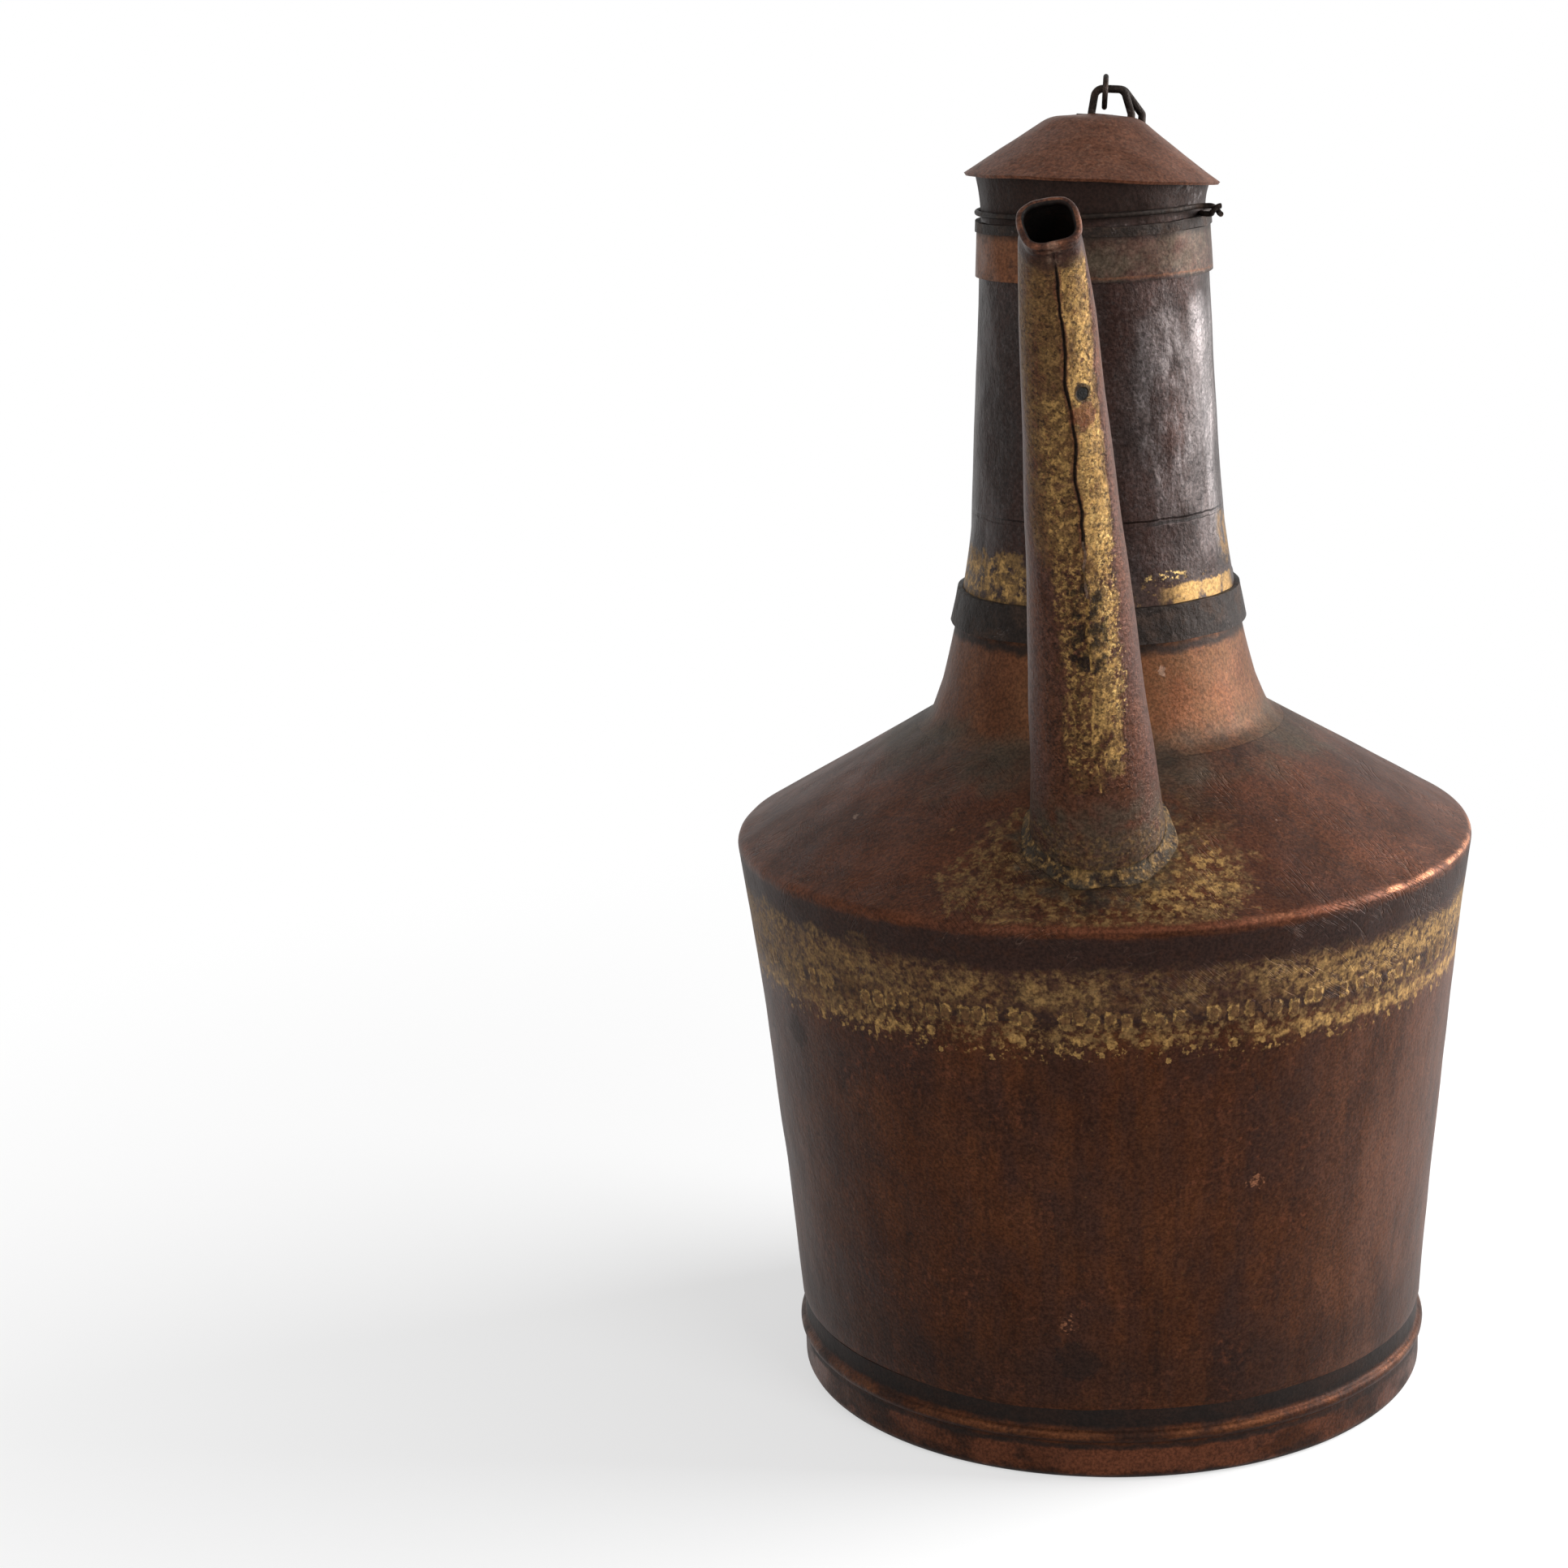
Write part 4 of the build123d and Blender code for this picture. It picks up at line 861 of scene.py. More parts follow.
def shoulder_copper():
    """Redder copper of the shoulder with a painted highlight along the rim, brightest on the right,
    green-grey at the roots.
    """
    front_right = facing(0.62, -0.78, 0.55, 0.95)
    above_rim = zone(0.2068, 0.30, 0.0012, 0.0003)
    layers = [
        ([blotches(0.030, 0.32, 0.66, 21.0)], "copper_red_and_highlight", 0.50, 0.8, 0.65),
        ([blotches(0.016, 0.46, 0.72, 25.0)], "copper_dark", 0.54, 0.7, 0.40),
        ([blotches(0.0032, 0.46, 0.68, 26.0)], "copper_dark", 0.54, 0.7, 0.45),
        ([blotches(0.0026, 0.50, 0.68, 24.0)], "copper_streak_and_highlight", 0.50, 0.8, 0.6),
        ([blotches(0.045, 0.48, 0.72, 27.0)], "copper_purple", 0.52, 0.8, 0.5),
        ([zone(0.10, 0.2040, 0.0015, 0.0008)], "copper_purple", 0.55, 0.7, 0.85),
        ([zone(0.10, 0.2040, 0.0015, 0.0008), blotches(0.0050, 0.50, 0.66, 22.0)],
         "copper_brown", 0.55, 0.7, 0.7),
        *seam_layers(),
        # painted highlight: a paler line along the rim, broken by blotches
        ([zone(0.2045, 0.2086, 0.0014, 0.0006), blotches(0.03, 0.38, 0.60, 31.0)],
         "copper_red_and_highlight", 0.46, 0.8, 0.8),
        # painted highlight: bright copper on the rim's right-hand side
        ([zone(0.2054, 0.2078, 0.0009, 0.0003), facing(0.86, -0.50, 0.70, 0.95),
          blotches(0.012, 0.42, 0.62, 33.0)], "copper_bright_and_highlight", 0.40, 0.9, 0.40),
        *root_layers(),
        ([above_rim, spot((0.004, -0.114, 0.2215), 0.050, 0.45, 0.012),
          blotches(0.009, 0.42, 0.60, 41.0), blotches(0.0022, 0.30, 0.62, 42.0)],
         "brass_brown", 0.6, 0.4, 0.9),
        ([above_rim, spot((0.030, -0.113, 0.2205), 0.026, 0.6, 0.010, 4.0),
          blotches(0.0040, 0.42, 0.58, 43.0), blotches(0.0016, 0.34, 0.62, 44.0)],
         "brass_olive", 0.6, 0.4, 0.95),
        ([above_rim, spot((-0.032, -0.110, 0.2215), 0.026, 0.6, 0.010, 5.0),
          blotches(0.0040, 0.42, 0.58, 46.0), blotches(0.0016, 0.34, 0.62, 47.0)],
         "brass_olive", 0.6, 0.4, 0.85),
        ([above_rim, spot((0.004, -0.121, 0.2165), 0.024, 0.6, 0.008, 6.0),
          blotches(0.0026, 0.48, 0.60, 48.0)], "brass_olive", 0.6, 0.4, 0.8),
        ([above_rim, spot((0.028, -0.112, 0.2215), 0.020, 0.6, 0.008, 7.0),
          blotches(0.0030, 0.50, 0.60, 49.0)], "brass_yellow", 0.6, 0.4, 0.6),
        ([spot((-0.001, -0.100, 0.226), 0.032, 0.3, 0.007), blotches(0.005, 0.36, 0.62, 45.0)],
         "green_grey", 0.6, 0.5, 0.8),
        ([spot((-0.001, -0.098, 0.226), 0.0285, 0.15, 0.005)], "copper_dark", 0.6, 0.5, 0.75),
        ([spot((-0.004, -0.1245, 0.2145), 0.0060, 0.5, 0.004)], "soot_and_shade", 0.6, 0.4, 0.6),
        ([scratches(0.03, 0.12, 0.005, 2.0)], "dust", 0.45, 0.6, 0.15),
        ([scratches(0.020, 0.07, 0.010, 5.0), front_right], "dust", 0.45, 0.6, 0.25),
        ([spot((-0.086, -0.055, 0.2245), 0.0018, 0.9, 0.0015)], "dust", 0.45, 0.6, 0.35),
        ([spot((0.060, -0.080, 0.2290), 0.0022, 0.8, 0.002)], "dust", 0.45, 0.6, 0.5),
    ]
    bumps = [
        FINE_GRAIN,
        hammered(0.017, 0.0009, 3.0),
        ([scratches(0.03, 0.12, 0.03, 2.0)], -0.0002),
        ([scratches(0.020, 0.07, 0.05, 5.0)], -0.0002),
        tooth_bump(),
    ]
    return lay_finish("shoulder_copper", "copper_brown", 0.54, 0.85, layers, bumps)


def neck_braze_layers():
    """Braze stains along the neck's seam, just above the collar."""
    left = facing(-0.94, -0.34, 0.60, 0.9)
    return [
        ([zone(0.292, 0.3140, 0.002, 0.006, 0.008), left, blotches(0.0050, 0.40, 0.58, 69.0)],
         "brass_olive", 0.6, 0.4, 0.9),
        ([zone(0.297, 0.3110, 0.002, 0.006, 0.006), left, blotches(0.0028, 0.46, 0.60, 70.0)],
         "brass_yellow", 0.55, 0.5, 0.7),
        ([zone(0.3040, 0.3078, 0.001, 0.0012, 0.004), facing(0.50, -0.86, 0.975, 0.99),
          blotches(0.0016, 0.52, 0.58, 71.0)], "brass_pale", 0.55, 0.5, 0.75),
        ([zone(0.2950, 0.3030, 0.001, 0.0016, 0.006), facing(0.80, -0.60, 0.88, 0.96),
          blotches(0.0070, 0.34, 0.48, 72.0)], "brass_yellow", 0.55, 0.5, 0.7),
        ([zone(0.3060, 0.3240, 0.003, 0.003, 0.006), facing(0.99, -0.15, 0.96, 0.99),
          blotches(0.0040, 0.38, 0.54, 72.5)], "brass_olive", 0.55, 0.5, 0.8),
        ([zone(0.2960, 0.3060, 0.002, 0.0030, 0.006), blotches(0.0018, 0.56, 0.64, 74.0)],
         "brass_olive", 0.55, 0.5, 0.6),
    ]


def flare_copper():
    """Cleaner, orange-brown copper of the flare under the collar, with painted shade along the
    collar's lower edge.
    """
    layers = [
        ([blotches(0.026, 0.34, 0.66, 37.0)], "copper_streak_and_highlight", 0.5, 0.75, 0.8),
        ([blotches(0.0028, 0.42, 0.68, 38.0)], "copper_brown", 0.5, 0.7, 0.35),
        ([facing(-0.88, -0.48, 0.3, 0.9), blotches(0.018, 0.30, 0.66, 39.0)],
         "copper_brown", 0.5, 0.7, 0.6),
        ([facing(0.50, -0.86, 0.2, 0.9), blotches(0.012, 0.34, 0.66, 39.5)],
         "brass_brown", 0.6, 0.5, 0.55),
        *root_layers(),
        # painted shade: a dark band just under the iron collar
        ([zone(0.2785, 0.2850, 0.003, 0.0016, 0.008)], "soot_and_shade", 0.6, 0.4, 0.85),
        ([zone(0.284, 0.33, 0.002, 0.001)], "tin_dark", 0.45, 0.7, 0.95),
        ([zone(0.284, 0.33, 0.002, 0.001), blotches(0.018, 0.38, 0.68, 61.0, 2.0)],
         "copper_purple", 0.44, 0.8, 0.75),
        *neck_braze_layers(),
        ([spot((0.047, -0.034, 0.270), 0.0030, 0.8, 0.002)], "dust", 0.5, 0.5, 0.5),
        ([spot((0.022, -0.050, 0.2745), 0.0020, 0.9, 0.002)], "dust", 0.5, 0.5, 0.4),
    ]
    bumps = [FINE_GRAIN, hammered(0.015, 0.0006, 3.0), SLOW_WAVES]
    return lay_finish("flare_copper", "copper_orange", 0.54, 0.75, layers, bumps)


def foot_copper():
    """Copper of the foot band: painted shade in the groove and a painted highlight on the bead."""
    layers = [
        ([blotches(0.014, 0.40, 0.60, 51.0, 0.5)], "copper_dark", 0.55, 0.6, 0.8),
        ([zone(0.0005, 0.0135, 0.002, 0.002), blotches(0.028, 0.46, 0.60, 55.0, 0.6)],
         "copper_red_and_highlight", 0.4, 0.8, 0.8),
        ([zone(0.002, 0.0125, 0.002, 0.002), facing(0.08, -1.0, 0.93, 0.99)],
         "copper_red_and_highlight", 0.45, 0.8, 0.8),
        # painted highlight: paler copper along the top of the bead
        ([zone(0.0155, 0.0192, 0.0010, 0.0004), blotches(0.02, 0.42, 0.60, 57.0)],
         "copper_streak_and_highlight", 0.38, 0.8, 0.8),
        # painted shade: dark in the groove under the belly's lower edge
        ([zone(0.0192, 0.030, 0.0015, 0.0008)], "soot_and_shade", 0.6, 0.3, 0.8),
        ([zone(0.0112, 0.0140, 0.0010, 0.0006)], "soot_and_shade", 0.6, 0.3, 0.6),
        ([zone(-0.002, 0.0024, 0.001, 0.0008)], "soot_and_shade", 0.6, 0.3, 0.6),
    ]
    return lay_finish("foot_copper", "copper_brown", 0.48, 0.75, layers, [FINE_GRAIN, SLOW_WAVES])


def neck_tin():
    """Blackened, once tinned copper of the neck, rubbed silvery on the right, with a painted
    highlight down its right-hand edge.
    """
    rubbed = facing(0.62, -0.78, 0.92, 0.99)
    # the right-hand edge, where a highlight is painted
    edge = facing(0.92, -0.38, 0.95, 0.995)
    layers = [
        ([blotches(0.018, 0.38, 0.68, 61.0, 2.0)], "copper_purple", 0.44, 0.8, 0.75),
        ([blotches(0.006, 0.44, 0.70, 62.0, 2.0)], "copper_dark", 0.5, 0.7, 0.6),
        ([blotches(0.0020, 0.50, 0.68, 63.0)], "tin_grey_and_sheen", 0.45, 0.8, 0.08),
        ([rubbed, blotches(0.0100, 0.42, 0.70, 64.0, 2.5), zone(0.318, 0.402, 0.014, 0.006)],
         "tin_grey_and_sheen", 0.40, 0.9, 0.25),
        ([rubbed, blotches(0.0034, 0.46, 0.66, 66.0, 2.5), zone(0.330, 0.398, 0.012, 0.006)],
         "tin_grey_and_sheen", 0.38, 0.9, 0.20),
        # painted highlight: a pale strip down the neck's right-hand edge
        ([edge, blotches(0.014, 0.26, 0.64, 65.0, 5.0), zone(0.306, 0.405, 0.010, 0.004)],
         "tin_grey_and_sheen", 0.34, 0.95, 0.85),
        # painted shade: a dark line in the crease on the right-hand side
        ([zone(0.3235, 0.3252, 0.0006, 0.0006, 0.012), rubbed], "soot_and_shade", 0.5, 0.5, 0.7),
        ([scratches(0.02, 0.1, 0.006, 7.0)], "tin_grey_and_sheen", 0.4, 0.8, 0.12),
        *neck_braze_layers(),
        ([zone(0.4265, 0.46, 0.002, 0.002)], "copper_dark", 0.6, 0.5, 0.9),
        ([zone(0.430, 0.46, 0.002, 0.002), facing(0.90, -0.43, 0.90, 0.99),
          blotches(0.004, 0.50, 0.6, 75.0)], "tin_grey_and_sheen", 0.4, 0.9, 0.25),
        ([blotches(0.003, 0.60, 0.70, 73.0)], "soot_and_shade", 0.6, 0.4, 0.6),
    ]
    bumps = [
        FINE_GRAIN,
        hammered(0.014, 0.0018, 5.0, 1.8),
        ([blotches(0.0045, 0.35, 0.65, 76.0, 1.5)], 0.00015),
        ([zone(0.3235, 0.3260, 0.0008, 0.0006, 0.012)], -0.0005),
        SLOW_WAVES,
    ]
    return lay_finish("neck_tin", "tin_dark", 0.42, 0.85, layers, bumps)


def band_copper():
    """The copper band: clean and orange on the left, grey-brown on the right."""
    dull = facing(1.0, -0.1, -0.42, -0.10)
    layers = [
        ([blotches(0.012, 0.40, 0.70, 81.0)], "copper_red_and_highlight", 0.48, 0.85, 0.5),
        ([dull], "copper_purple", 0.5, 0.7, 0.92),
        ([dull, blotches(0.010, 0.36, 0.66, 82.0)], "green_grey", 0.5, 0.7, 0.75),
        ([dull, blotches(0.0040, 0.46, 0.66, 83.0)], "dust", 0.6, 0.4, 0.08),
        ([dull, blotches(0.0016, 0.52, 0.66, 85.0)], "dust", 0.6, 0.4, 0.08),
        ([blotches(0.005, 0.52, 0.70, 84.0)], "soot_and_shade", 0.6, 0.4, 0.55),
        ([zone(0.4205, 0.4300, 0.003, 0.001)], "soot_and_shade", 0.6, 0.4, 0.6),
        ([zone(0.4060, 0.4086, 0.0006, 0.0006, 0.004), dull], "soot_and_shade", 0.6, 0.4, 0.6),
        ([zone(0.4086, 0.4098, 0.0005, 0.0005, 0.004), dull], "copper_orange", 0.6, 0.4, 0.5),
    ]
    bumps = [FINE_GRAIN, hammered(0.011, 0.0010, 7.0)]
    return lay_finish("band_copper", "copper_orange", 0.46, 0.85, layers, bumps)


def forged_iron(name="forged_iron", seed=0.0):
    """Dark forged iron with a little rust."""
    layers = [
        ([blotches(0.010, 0.48, 0.62, 91.0 + seed)], "iron_rust", 0.7, 0.4, 0.7),
        ([blotches(0.004, 0.58, 0.68, 95.0 + seed)], "soot_and_shade", 0.6, 0.4, 0.7),
        ([scratches(0.012, 0.2, 0.010, 3.0)], "tin_grey_and_sheen", 0.4, 0.8, 0.25),
    ]
    bumps = [
        ([blotches(0.0022, 0.3, 0.7, 97.0 + seed)], 0.00018),
        hammered(0.007, 0.0007, 9.0 + seed),
    ]
    return lay_finish(name, "iron_dark", 0.55, 0.7, layers, bumps)


def lid_copper():
    """Dusty pink-brown copper of the lid with a pale patch at the front-left of its top."""
    layers = [
        ([blotches(0.020, 0.36, 0.66, 101.0)], "copper_red_and_highlight", 0.52, 0.8, 0.55),
        ([blotches(0.0026, 0.46, 0.68, 104.0)], "copper_brown", 0.6, 0.6, 0.6),
        ([blotches(0.0018, 0.54, 0.66, 105.0)], "dust", 0.6, 0.5, 0.16),
        ([blotches(0.03, 0.46, 0.72, 107.0)], "copper_brown", 0.55, 0.8, 0.5),
        ([blotches(0.0060, 0.60, 0.70, 108.0)], "soot_and_shade", 0.6, 0.5, 0.4),
        ([facing(-0.35, -0.94, 0.80, 0.96), zone(0.4640, 0.4662, 0.0008, 0.0008, 0.01)],
         "dust", 0.5, 0.5, 0.5),
        ([scratches(0.018, 0.15, 0.004, 1.0)], "dust", 0.5, 0.5, 0.2),
    ]
    bumps = [FINE_GRAIN, hammered(0.013, 0.0008, 11.0)]
    return lay_finish("lid_copper", "copper_pink_and_sheen", 0.54, 0.8, layers, bumps)


def spout_place(along, side):
    """A place on the spout by its length along it and its distance to the right of the seam."""
    section = spout_section(along)
    turn = scene_group("spout").seam_angle + side / section.radius
    out = spout_axis().across * sin(turn) - section.behind * cos(turn)
    return tuple(section.middle + out * section.radius)


def spout_copper():
    """Copper of the spout, its front plastered with yellow braze on both sides of the open seam,
    with painted shade in that seam and in the hole.
    """
    sizes = scene_group("spout")
    hole = spout_place(sizes.hole_along, sizes.hole_side)
    patch = spout_place(sizes.hole_along - 3 * sizes.hole_radius, sizes.hole_side)
    layers = [
        ([blotches(0.014, 0.38, 0.66, 111.0, 2.0)], "copper_streak_and_highlight", 0.44, 0.85, 0.6),
        ([blotches(0.004, 0.46, 0.70, 112.0)], "copper_dark", 0.5, 0.7, 0.5),
        # left of the seam
        ([strip(-0.0215, 0.002, 0.105, 0.216, 0.0030, 0.010, 1.0, 0.004),
          blotches(0.008, 0.30, 0.56, 12.0)], "brass_brown", 0.52, 0.6, 0.9),
        ([strip(-0.0200, 0.002, 0.105, 0.212, 0.0030, 0.008, 1.5, 0.004),
          blotches(0.0050, 0.30, 0.66, 12.5)], "brass_olive", 0.52, 0.6, 0.65),
        ([strip(-0.0130, 0.001, 0.102, 0.162, 0.0022, 0.006, 2.0, 0.004),
          blotches(0.0026, 0.44, 0.62, 13.0)], "brass_yellow", 0.5, 0.6, 0.55),
        ([strip(-0.0120, 0.001, 0.150, 0.205, 0.0022, 0.006, 2.5, 0.004),
          blotches(0.0024, 0.54, 0.68, 13.5)], "brass_yellow", 0.5, 0.6, 0.25),
        ([strip(-0.0180, -0.0050, 0.105, 0.200, 0.0030, 0.006, 2.8, 0.004),
          blotches(0.0016, 0.52, 0.66, 13.8)], "copper_red_and_highlight", 0.5, 0.6, 0.7),
        ([strip(-0.0115, 0.004, 0.024, 0.112, 0.0030, 0.006, 3.0, 0.002),
          blotches(0.0040, 0.40, 0.56, 14.0)], "brass_brown", 0.55, 0.5, 0.9),
        ([strip(-0.0105, 0.003, 0.030, 0.112, 0.0030, 0.006, 4.0, 0.002),
          blotches(0.0018, 0.46, 0.58, 15.0)], "brass_yellow", 0.5, 0.5, 0.55),
        # right of the seam
        ([strip(-0.0010, 0.0115, 0.108, 0.210, 0.0016, 0.006, 5.0, 0.0015),
          blotches(0.006, 0.26, 0.46, 16.0)], "brass_olive", 0.5, 0.6, 0.95),
        ([strip(-0.0010, 0.0110, 0.106, 0.206, 0.0016, 0.006, 5.5, 0.0015),
          blotches(0.0040, 0.36, 0.58, 16.5)], "brass_yellow", 0.5, 0.6, 0.75),
        ([strip(0.0010, 0.0100, 0.103, 0.198, 0.0016, 0.005, 6.0, 0.002),
          blotches(0.0024, 0.48, 0.66, 17.0)], "brass_pale", 0.45, 0.6, 0.30),
        ([strip(0.0000, 0.0110, 0.103, 0.206, 0.0016, 0.005, 6.5, 0.002),
          blotches(0.0016, 0.56, 0.66, 17.5)], "copper_red_and_highlight", 0.5, 0.6, 0.85),
        ([strip(0.0000, 0.0115, 0.030, 0.112, 0.0026, 0.006, 7.0, 0.002),
          blotches(0.0050, 0.40, 0.54, 18.5)], "brass_olive", 0.5, 0.55, 0.8),
        ([strip(0.0000, 0.0115, 0.034, 0.112, 0.0026, 0.006, 7.5, 0.002),
          blotches(0.0022, 0.45, 0.56, 18.0)], "brass_yellow", 0.5, 0.55, 0.75),
        ([strip(0.0040, 0.0125, 0.050, 0.118, 0.0022, 0.005, 8.0),
          blotches(0.0014, 0.54, 0.62, 19.0)], "brass_pale", 0.4, 0.7, 0.7),
        # dirt over both
        ([strip(-0.018, 0.014, 0.020, 0.206, 0.001, 0.006, 9.0),
          blotches(0.0014, 0.52, 0.64, 20.0)], "copper_dark", 0.6, 0.5, 0.75),
        ([strip(-0.018, 0.014, 0.020, 0.206, 0.001, 0.006, 9.5),
          blotches(0.0075, 0.52, 0.70, 20.5, 2.0)], "copper_brown", 0.6, 0.5, 0.7),
        ([strip(-0.0070, 0.0070, 0.066, 0.098, 0.0030, 0.005, 10.0, 0.002),
          blotches(0.004, 0.42, 0.58, 21.0)], "soot_and_shade", 0.5, 0.6, 0.85),
        ([strip(-0.0016, 0.0014, 0.104, 0.206, 0.0010, 0.003, 13.0, 0.0010)],
         "copper_red_and_highlight", 0.6, 0.4, 0.7),
        # painted shade: a dark line in the open seam
        ([strip(-0.0008, 0.0006, 0.108, 0.214, 0.0004, 0.004, 12.0, 0.0004)],
         "soot_and_shade", 0.6, 0.4, 0.9),
        ([strip(-0.0005, 0.0005, 0.092, 0.112, 0.0003, 0.004, 14.5, 0.0003),
          blotches(0.006, 0.38, 0.52, 22.5)], "dust", 0.4, 0.7, 0.7),
        ([strip(-0.0005, 0.0005, 0.024, 0.090, 0.0004, 0.004, 14.0, 0.0003),
          blotches(0.006, 0.42, 0.56, 22.0)], "brass_yellow", 0.45, 0.7, 0.7),
        ([strip(-0.2, 0.2, 0.204, 0.3, 0.0010, 0.006, 15.0, 0.005)],
         "copper_purple", 0.45, 0.8, 0.85),
        ([strip(-0.2, 0.2, 0.2138, 0.3, 0.0006, 0.006, 15.5, 0.0012),
          blotches(0.0045, 0.36, 0.60, 25.0)], "copper_pink_and_sheen", 0.42, 0.8, 0.85),
        ([strip(-0.0035, 0.0035, 0.207, 0.3, 0.0010, 0.004, 15.8, 0.003),
          blotches(0.0020, 0.42, 0.60, 26.0)], "dust", 0.45, 0.7, 0.35),
        ([strip(-0.2, 0.2, -0.1, 0.026, 0.0030, 0.008, 16.0, 0.014),
          blotches(0.006, 0.30, 0.62, 23.0)], "green_grey", 0.55, 0.6, 0.7),
        ([strip(-0.2, 0.2, -0.1, 0.012, 0.0030, 0.006, 17.0, 0.006),
          blotches(0.0018, 0.46, 0.66, 24.0)], "brass_olive", 0.55, 0.5, 0.55),
        ([spot(patch, 0.0050, 0.5, 0.004)], "copper_red_and_highlight", 0.5, 0.7, 0.8),
        ([spot(hole, 1.5 * sizes.hole_radius, 0.3, 0.002)], "copper_dark", 0.6, 0.4, 0.8),
        # painted shade: black where the hole is; the sheet is only dented there, not cut
        ([spot(hole, sizes.hole_radius, 0.1, 0.003)], "soot_and_shade", 0.7, 0.1, 1.0),
    ]
    bumps = [
        ([blotches(0.0018, 0.35, 0.7, 22.0)], 0.00014),
        ([strip(-0.018, 0.0125, 0.024, 0.206, 0.002, 0.006, 5.0),
          blotches(0.0024, 0.44, 0.56, 18.0)], 0.0004),
        ([spot(hole, sizes.hole_radius, 0.1, 0.003)], -0.0015),
    ]
    return lay_finish("spout_copper", "spout_brown", 0.46, 0.85, layers, bumps)


def foot_stains():
    """Dull metal of the spout's flange under dusty brass."""
    layers = [
        ([blotches(0.006, 0.36, 0.62, 123.0)], "green_grey", 0.6, 0.5, 0.7),
        ([blotches(0.0040, 0.44, 0.62, 41.0)], "brass_olive", 0.6, 0.5, 0.7),
        ([blotches(0.0020, 0.52, 0.64, 43.0)], "brass_yellow", 0.55, 0.5, 0.35),
    ]
    bumps = [([blotches(0.002, 0.3, 0.7, 126.0)], 0.0003)]
    return lay_finish("foot_stains", "copper_dark", 0.6, 0.5, layers, bumps)


def spout_inside():
    """Near-black copper inside the spout, with blotches of dark copper."""
    layers = [([blotches(0.006, 0.45, 0.6, 131.0)], "copper_dark", 0.6, 0.4, 0.6)]
    return lay_finish("spout_inside", "soot_and_shade", 0.6, 0.4, layers, [FINE_GRAIN])


def braze_brass():
    """Rough yellow brass of the seams."""
    layers = [
        ([blotches(0.004, 0.45, 0.6, 121.0)], "brass_brown", 0.6, 0.4, 0.8),
        ([blotches(0.002, 0.5, 0.6, 124.0)], "brass_pale", 0.5, 0.5, 0.6),
    ]
    bumps = [([blotches(0.0016, 0.3, 0.7, 127.0)], 0.0003)]
    return lay_finish("braze_brass", "brass_yellow", 0.55, 0.5, layers, bumps)


# Pieces


class PITCHER_OT_foot(bpy.types.Operator):
    """The bottom pan with its foot band, bead and groove"""

    bl_idname = "pitcher.foot"
    bl_label = "Foot"

    def execute(self, context):
        sizes = scene_group("vessel")
        radius, corner, wall = sizes.foot_radius, sizes.foot_corner, sizes.sheet
        bead, bead_height, top = sizes.bead_radius, sizes.bead_height, sizes.foot_height
        near_axis = radius * 0.1
        inside = radius - 2 * wall
        groove = radius - wall / 2
        middle = radius + sizes.bead_proud - bead
        half = acos(min(1.0, (radius - middle) / bead))

        outline = [(0, 0)]
        outline += straight((near_axis, 0), (radius - corner, 0), 14)
        outline += arc((radius - corner, corner), corner, -pi / 2, 0, 8)
        outline += straight((radius, corner + wall), (radius, bead_height - bead), 6)
        outline += arc((middle, bead_height), bead, -half, half, 12)
        outline += straight((groove, bead_height + bead + wall / 2), (groove, top), 5)
        outline += [(groove, top + wall), (inside, top + wall)]
        outline += straight((inside, top), (inside, corner), 8)
        outline += straight((radius - wall - corner, wall), (near_axis, wall), 12)
        outline.append((0, wall))

        foot = turned("foot_pan", outline, dents=0.5, closed=False)
        sharpen(foot, 50)
        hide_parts("bottom_pan")
        dress(foot, foot_copper())
        return {"FINISHED"}


class PITCHER_OT_belly(bpy.types.Operator):
    """The flaring belly wall"""

    bl_idname = "pitcher.belly"
    bl_label = "Belly"

    def execute(self, context):
        sizes = scene_group("vessel")
        outline = sheet_between(sizes.foot_height, sizes.seam_height, sizes.sheet)
        belly = turned("belly_sheet", outline)
        sharpen(belly, 50)
        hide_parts("belly_wall")
        dress(belly, belly_copper())
        dress_node("belly_seam_braze", braze_brass())
        return {"FINISHED"}


class PITCHER_OT_shoulder(bpy.types.Operator):
    """The shoulder's skirt, rim and cone, and the flare above it"""

    bl_idname = "pitcher.shoulder"
    bl_label = "Shoulder"

    def execute(self, context):
        sizes = scene_group("vessel")
        outline = sheet_between(sizes.seam_height, sizes.flare_seam_height, sizes.sheet)
        shoulder = turned("shoulder_sheet", outline)
        sharpen(shoulder, 60)
        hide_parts("shoulder")
        dress(shoulder, shoulder_copper())
        outline = sheet_between(sizes.flare_seam_height, sizes.neck_seam_height, sizes.sheet)
        flare = turned("flare_sheet", outline)
        sharpen(flare, 60)
        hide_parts("neck_flare")
        dress(flare, flare_copper())
        dress_node("flare_seam_braze", braze_brass())
        return {"FINISHED"}


class PITCHER_OT_neck(bpy.types.Operator):
    """The neck with its flared, tilted mouth"""

    bl_idname = "pitcher.neck"
    bl_label = "Neck"

    def execute(self, context):
        sizes = scene_group("vessel")
        place = lid_matrix()
        normal = place.col[2].xyz
        middle = place.col[3].xyz
        start = sizes.neck_top_height

        def tilt(point):
            """Leans the mouth, more and more from where its flare begins."""
            if point.z <= start:
                return point
            level = middle.z - (normal.x * point.x + normal.y * point.y) / normal.z
            share = (point.z - start) / (sizes.mouth_height - start)
            return Vector((point.x, point.y, start + share * (level - start)))

        outline = sheet_between(sizes.neck_seam_height, sizes.mouth_height, sizes.sheet)
        neck = turned("neck_sheet", outline, shape=tilt)
        sharpen(neck, 60)
        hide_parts("neck")
        dress(neck, neck_tin())
        return {"FINISHED"}


# Waves of an uneven band: round it, their finer overtone, and how far they go outwards
BAND_WAVES, BAND_OVERTONE, BAND_OUTWARD = 1.6, 3.1, 0.6
# Steps along and across the collar's loose end
END_STEPS, END_RANKS = 16, 10


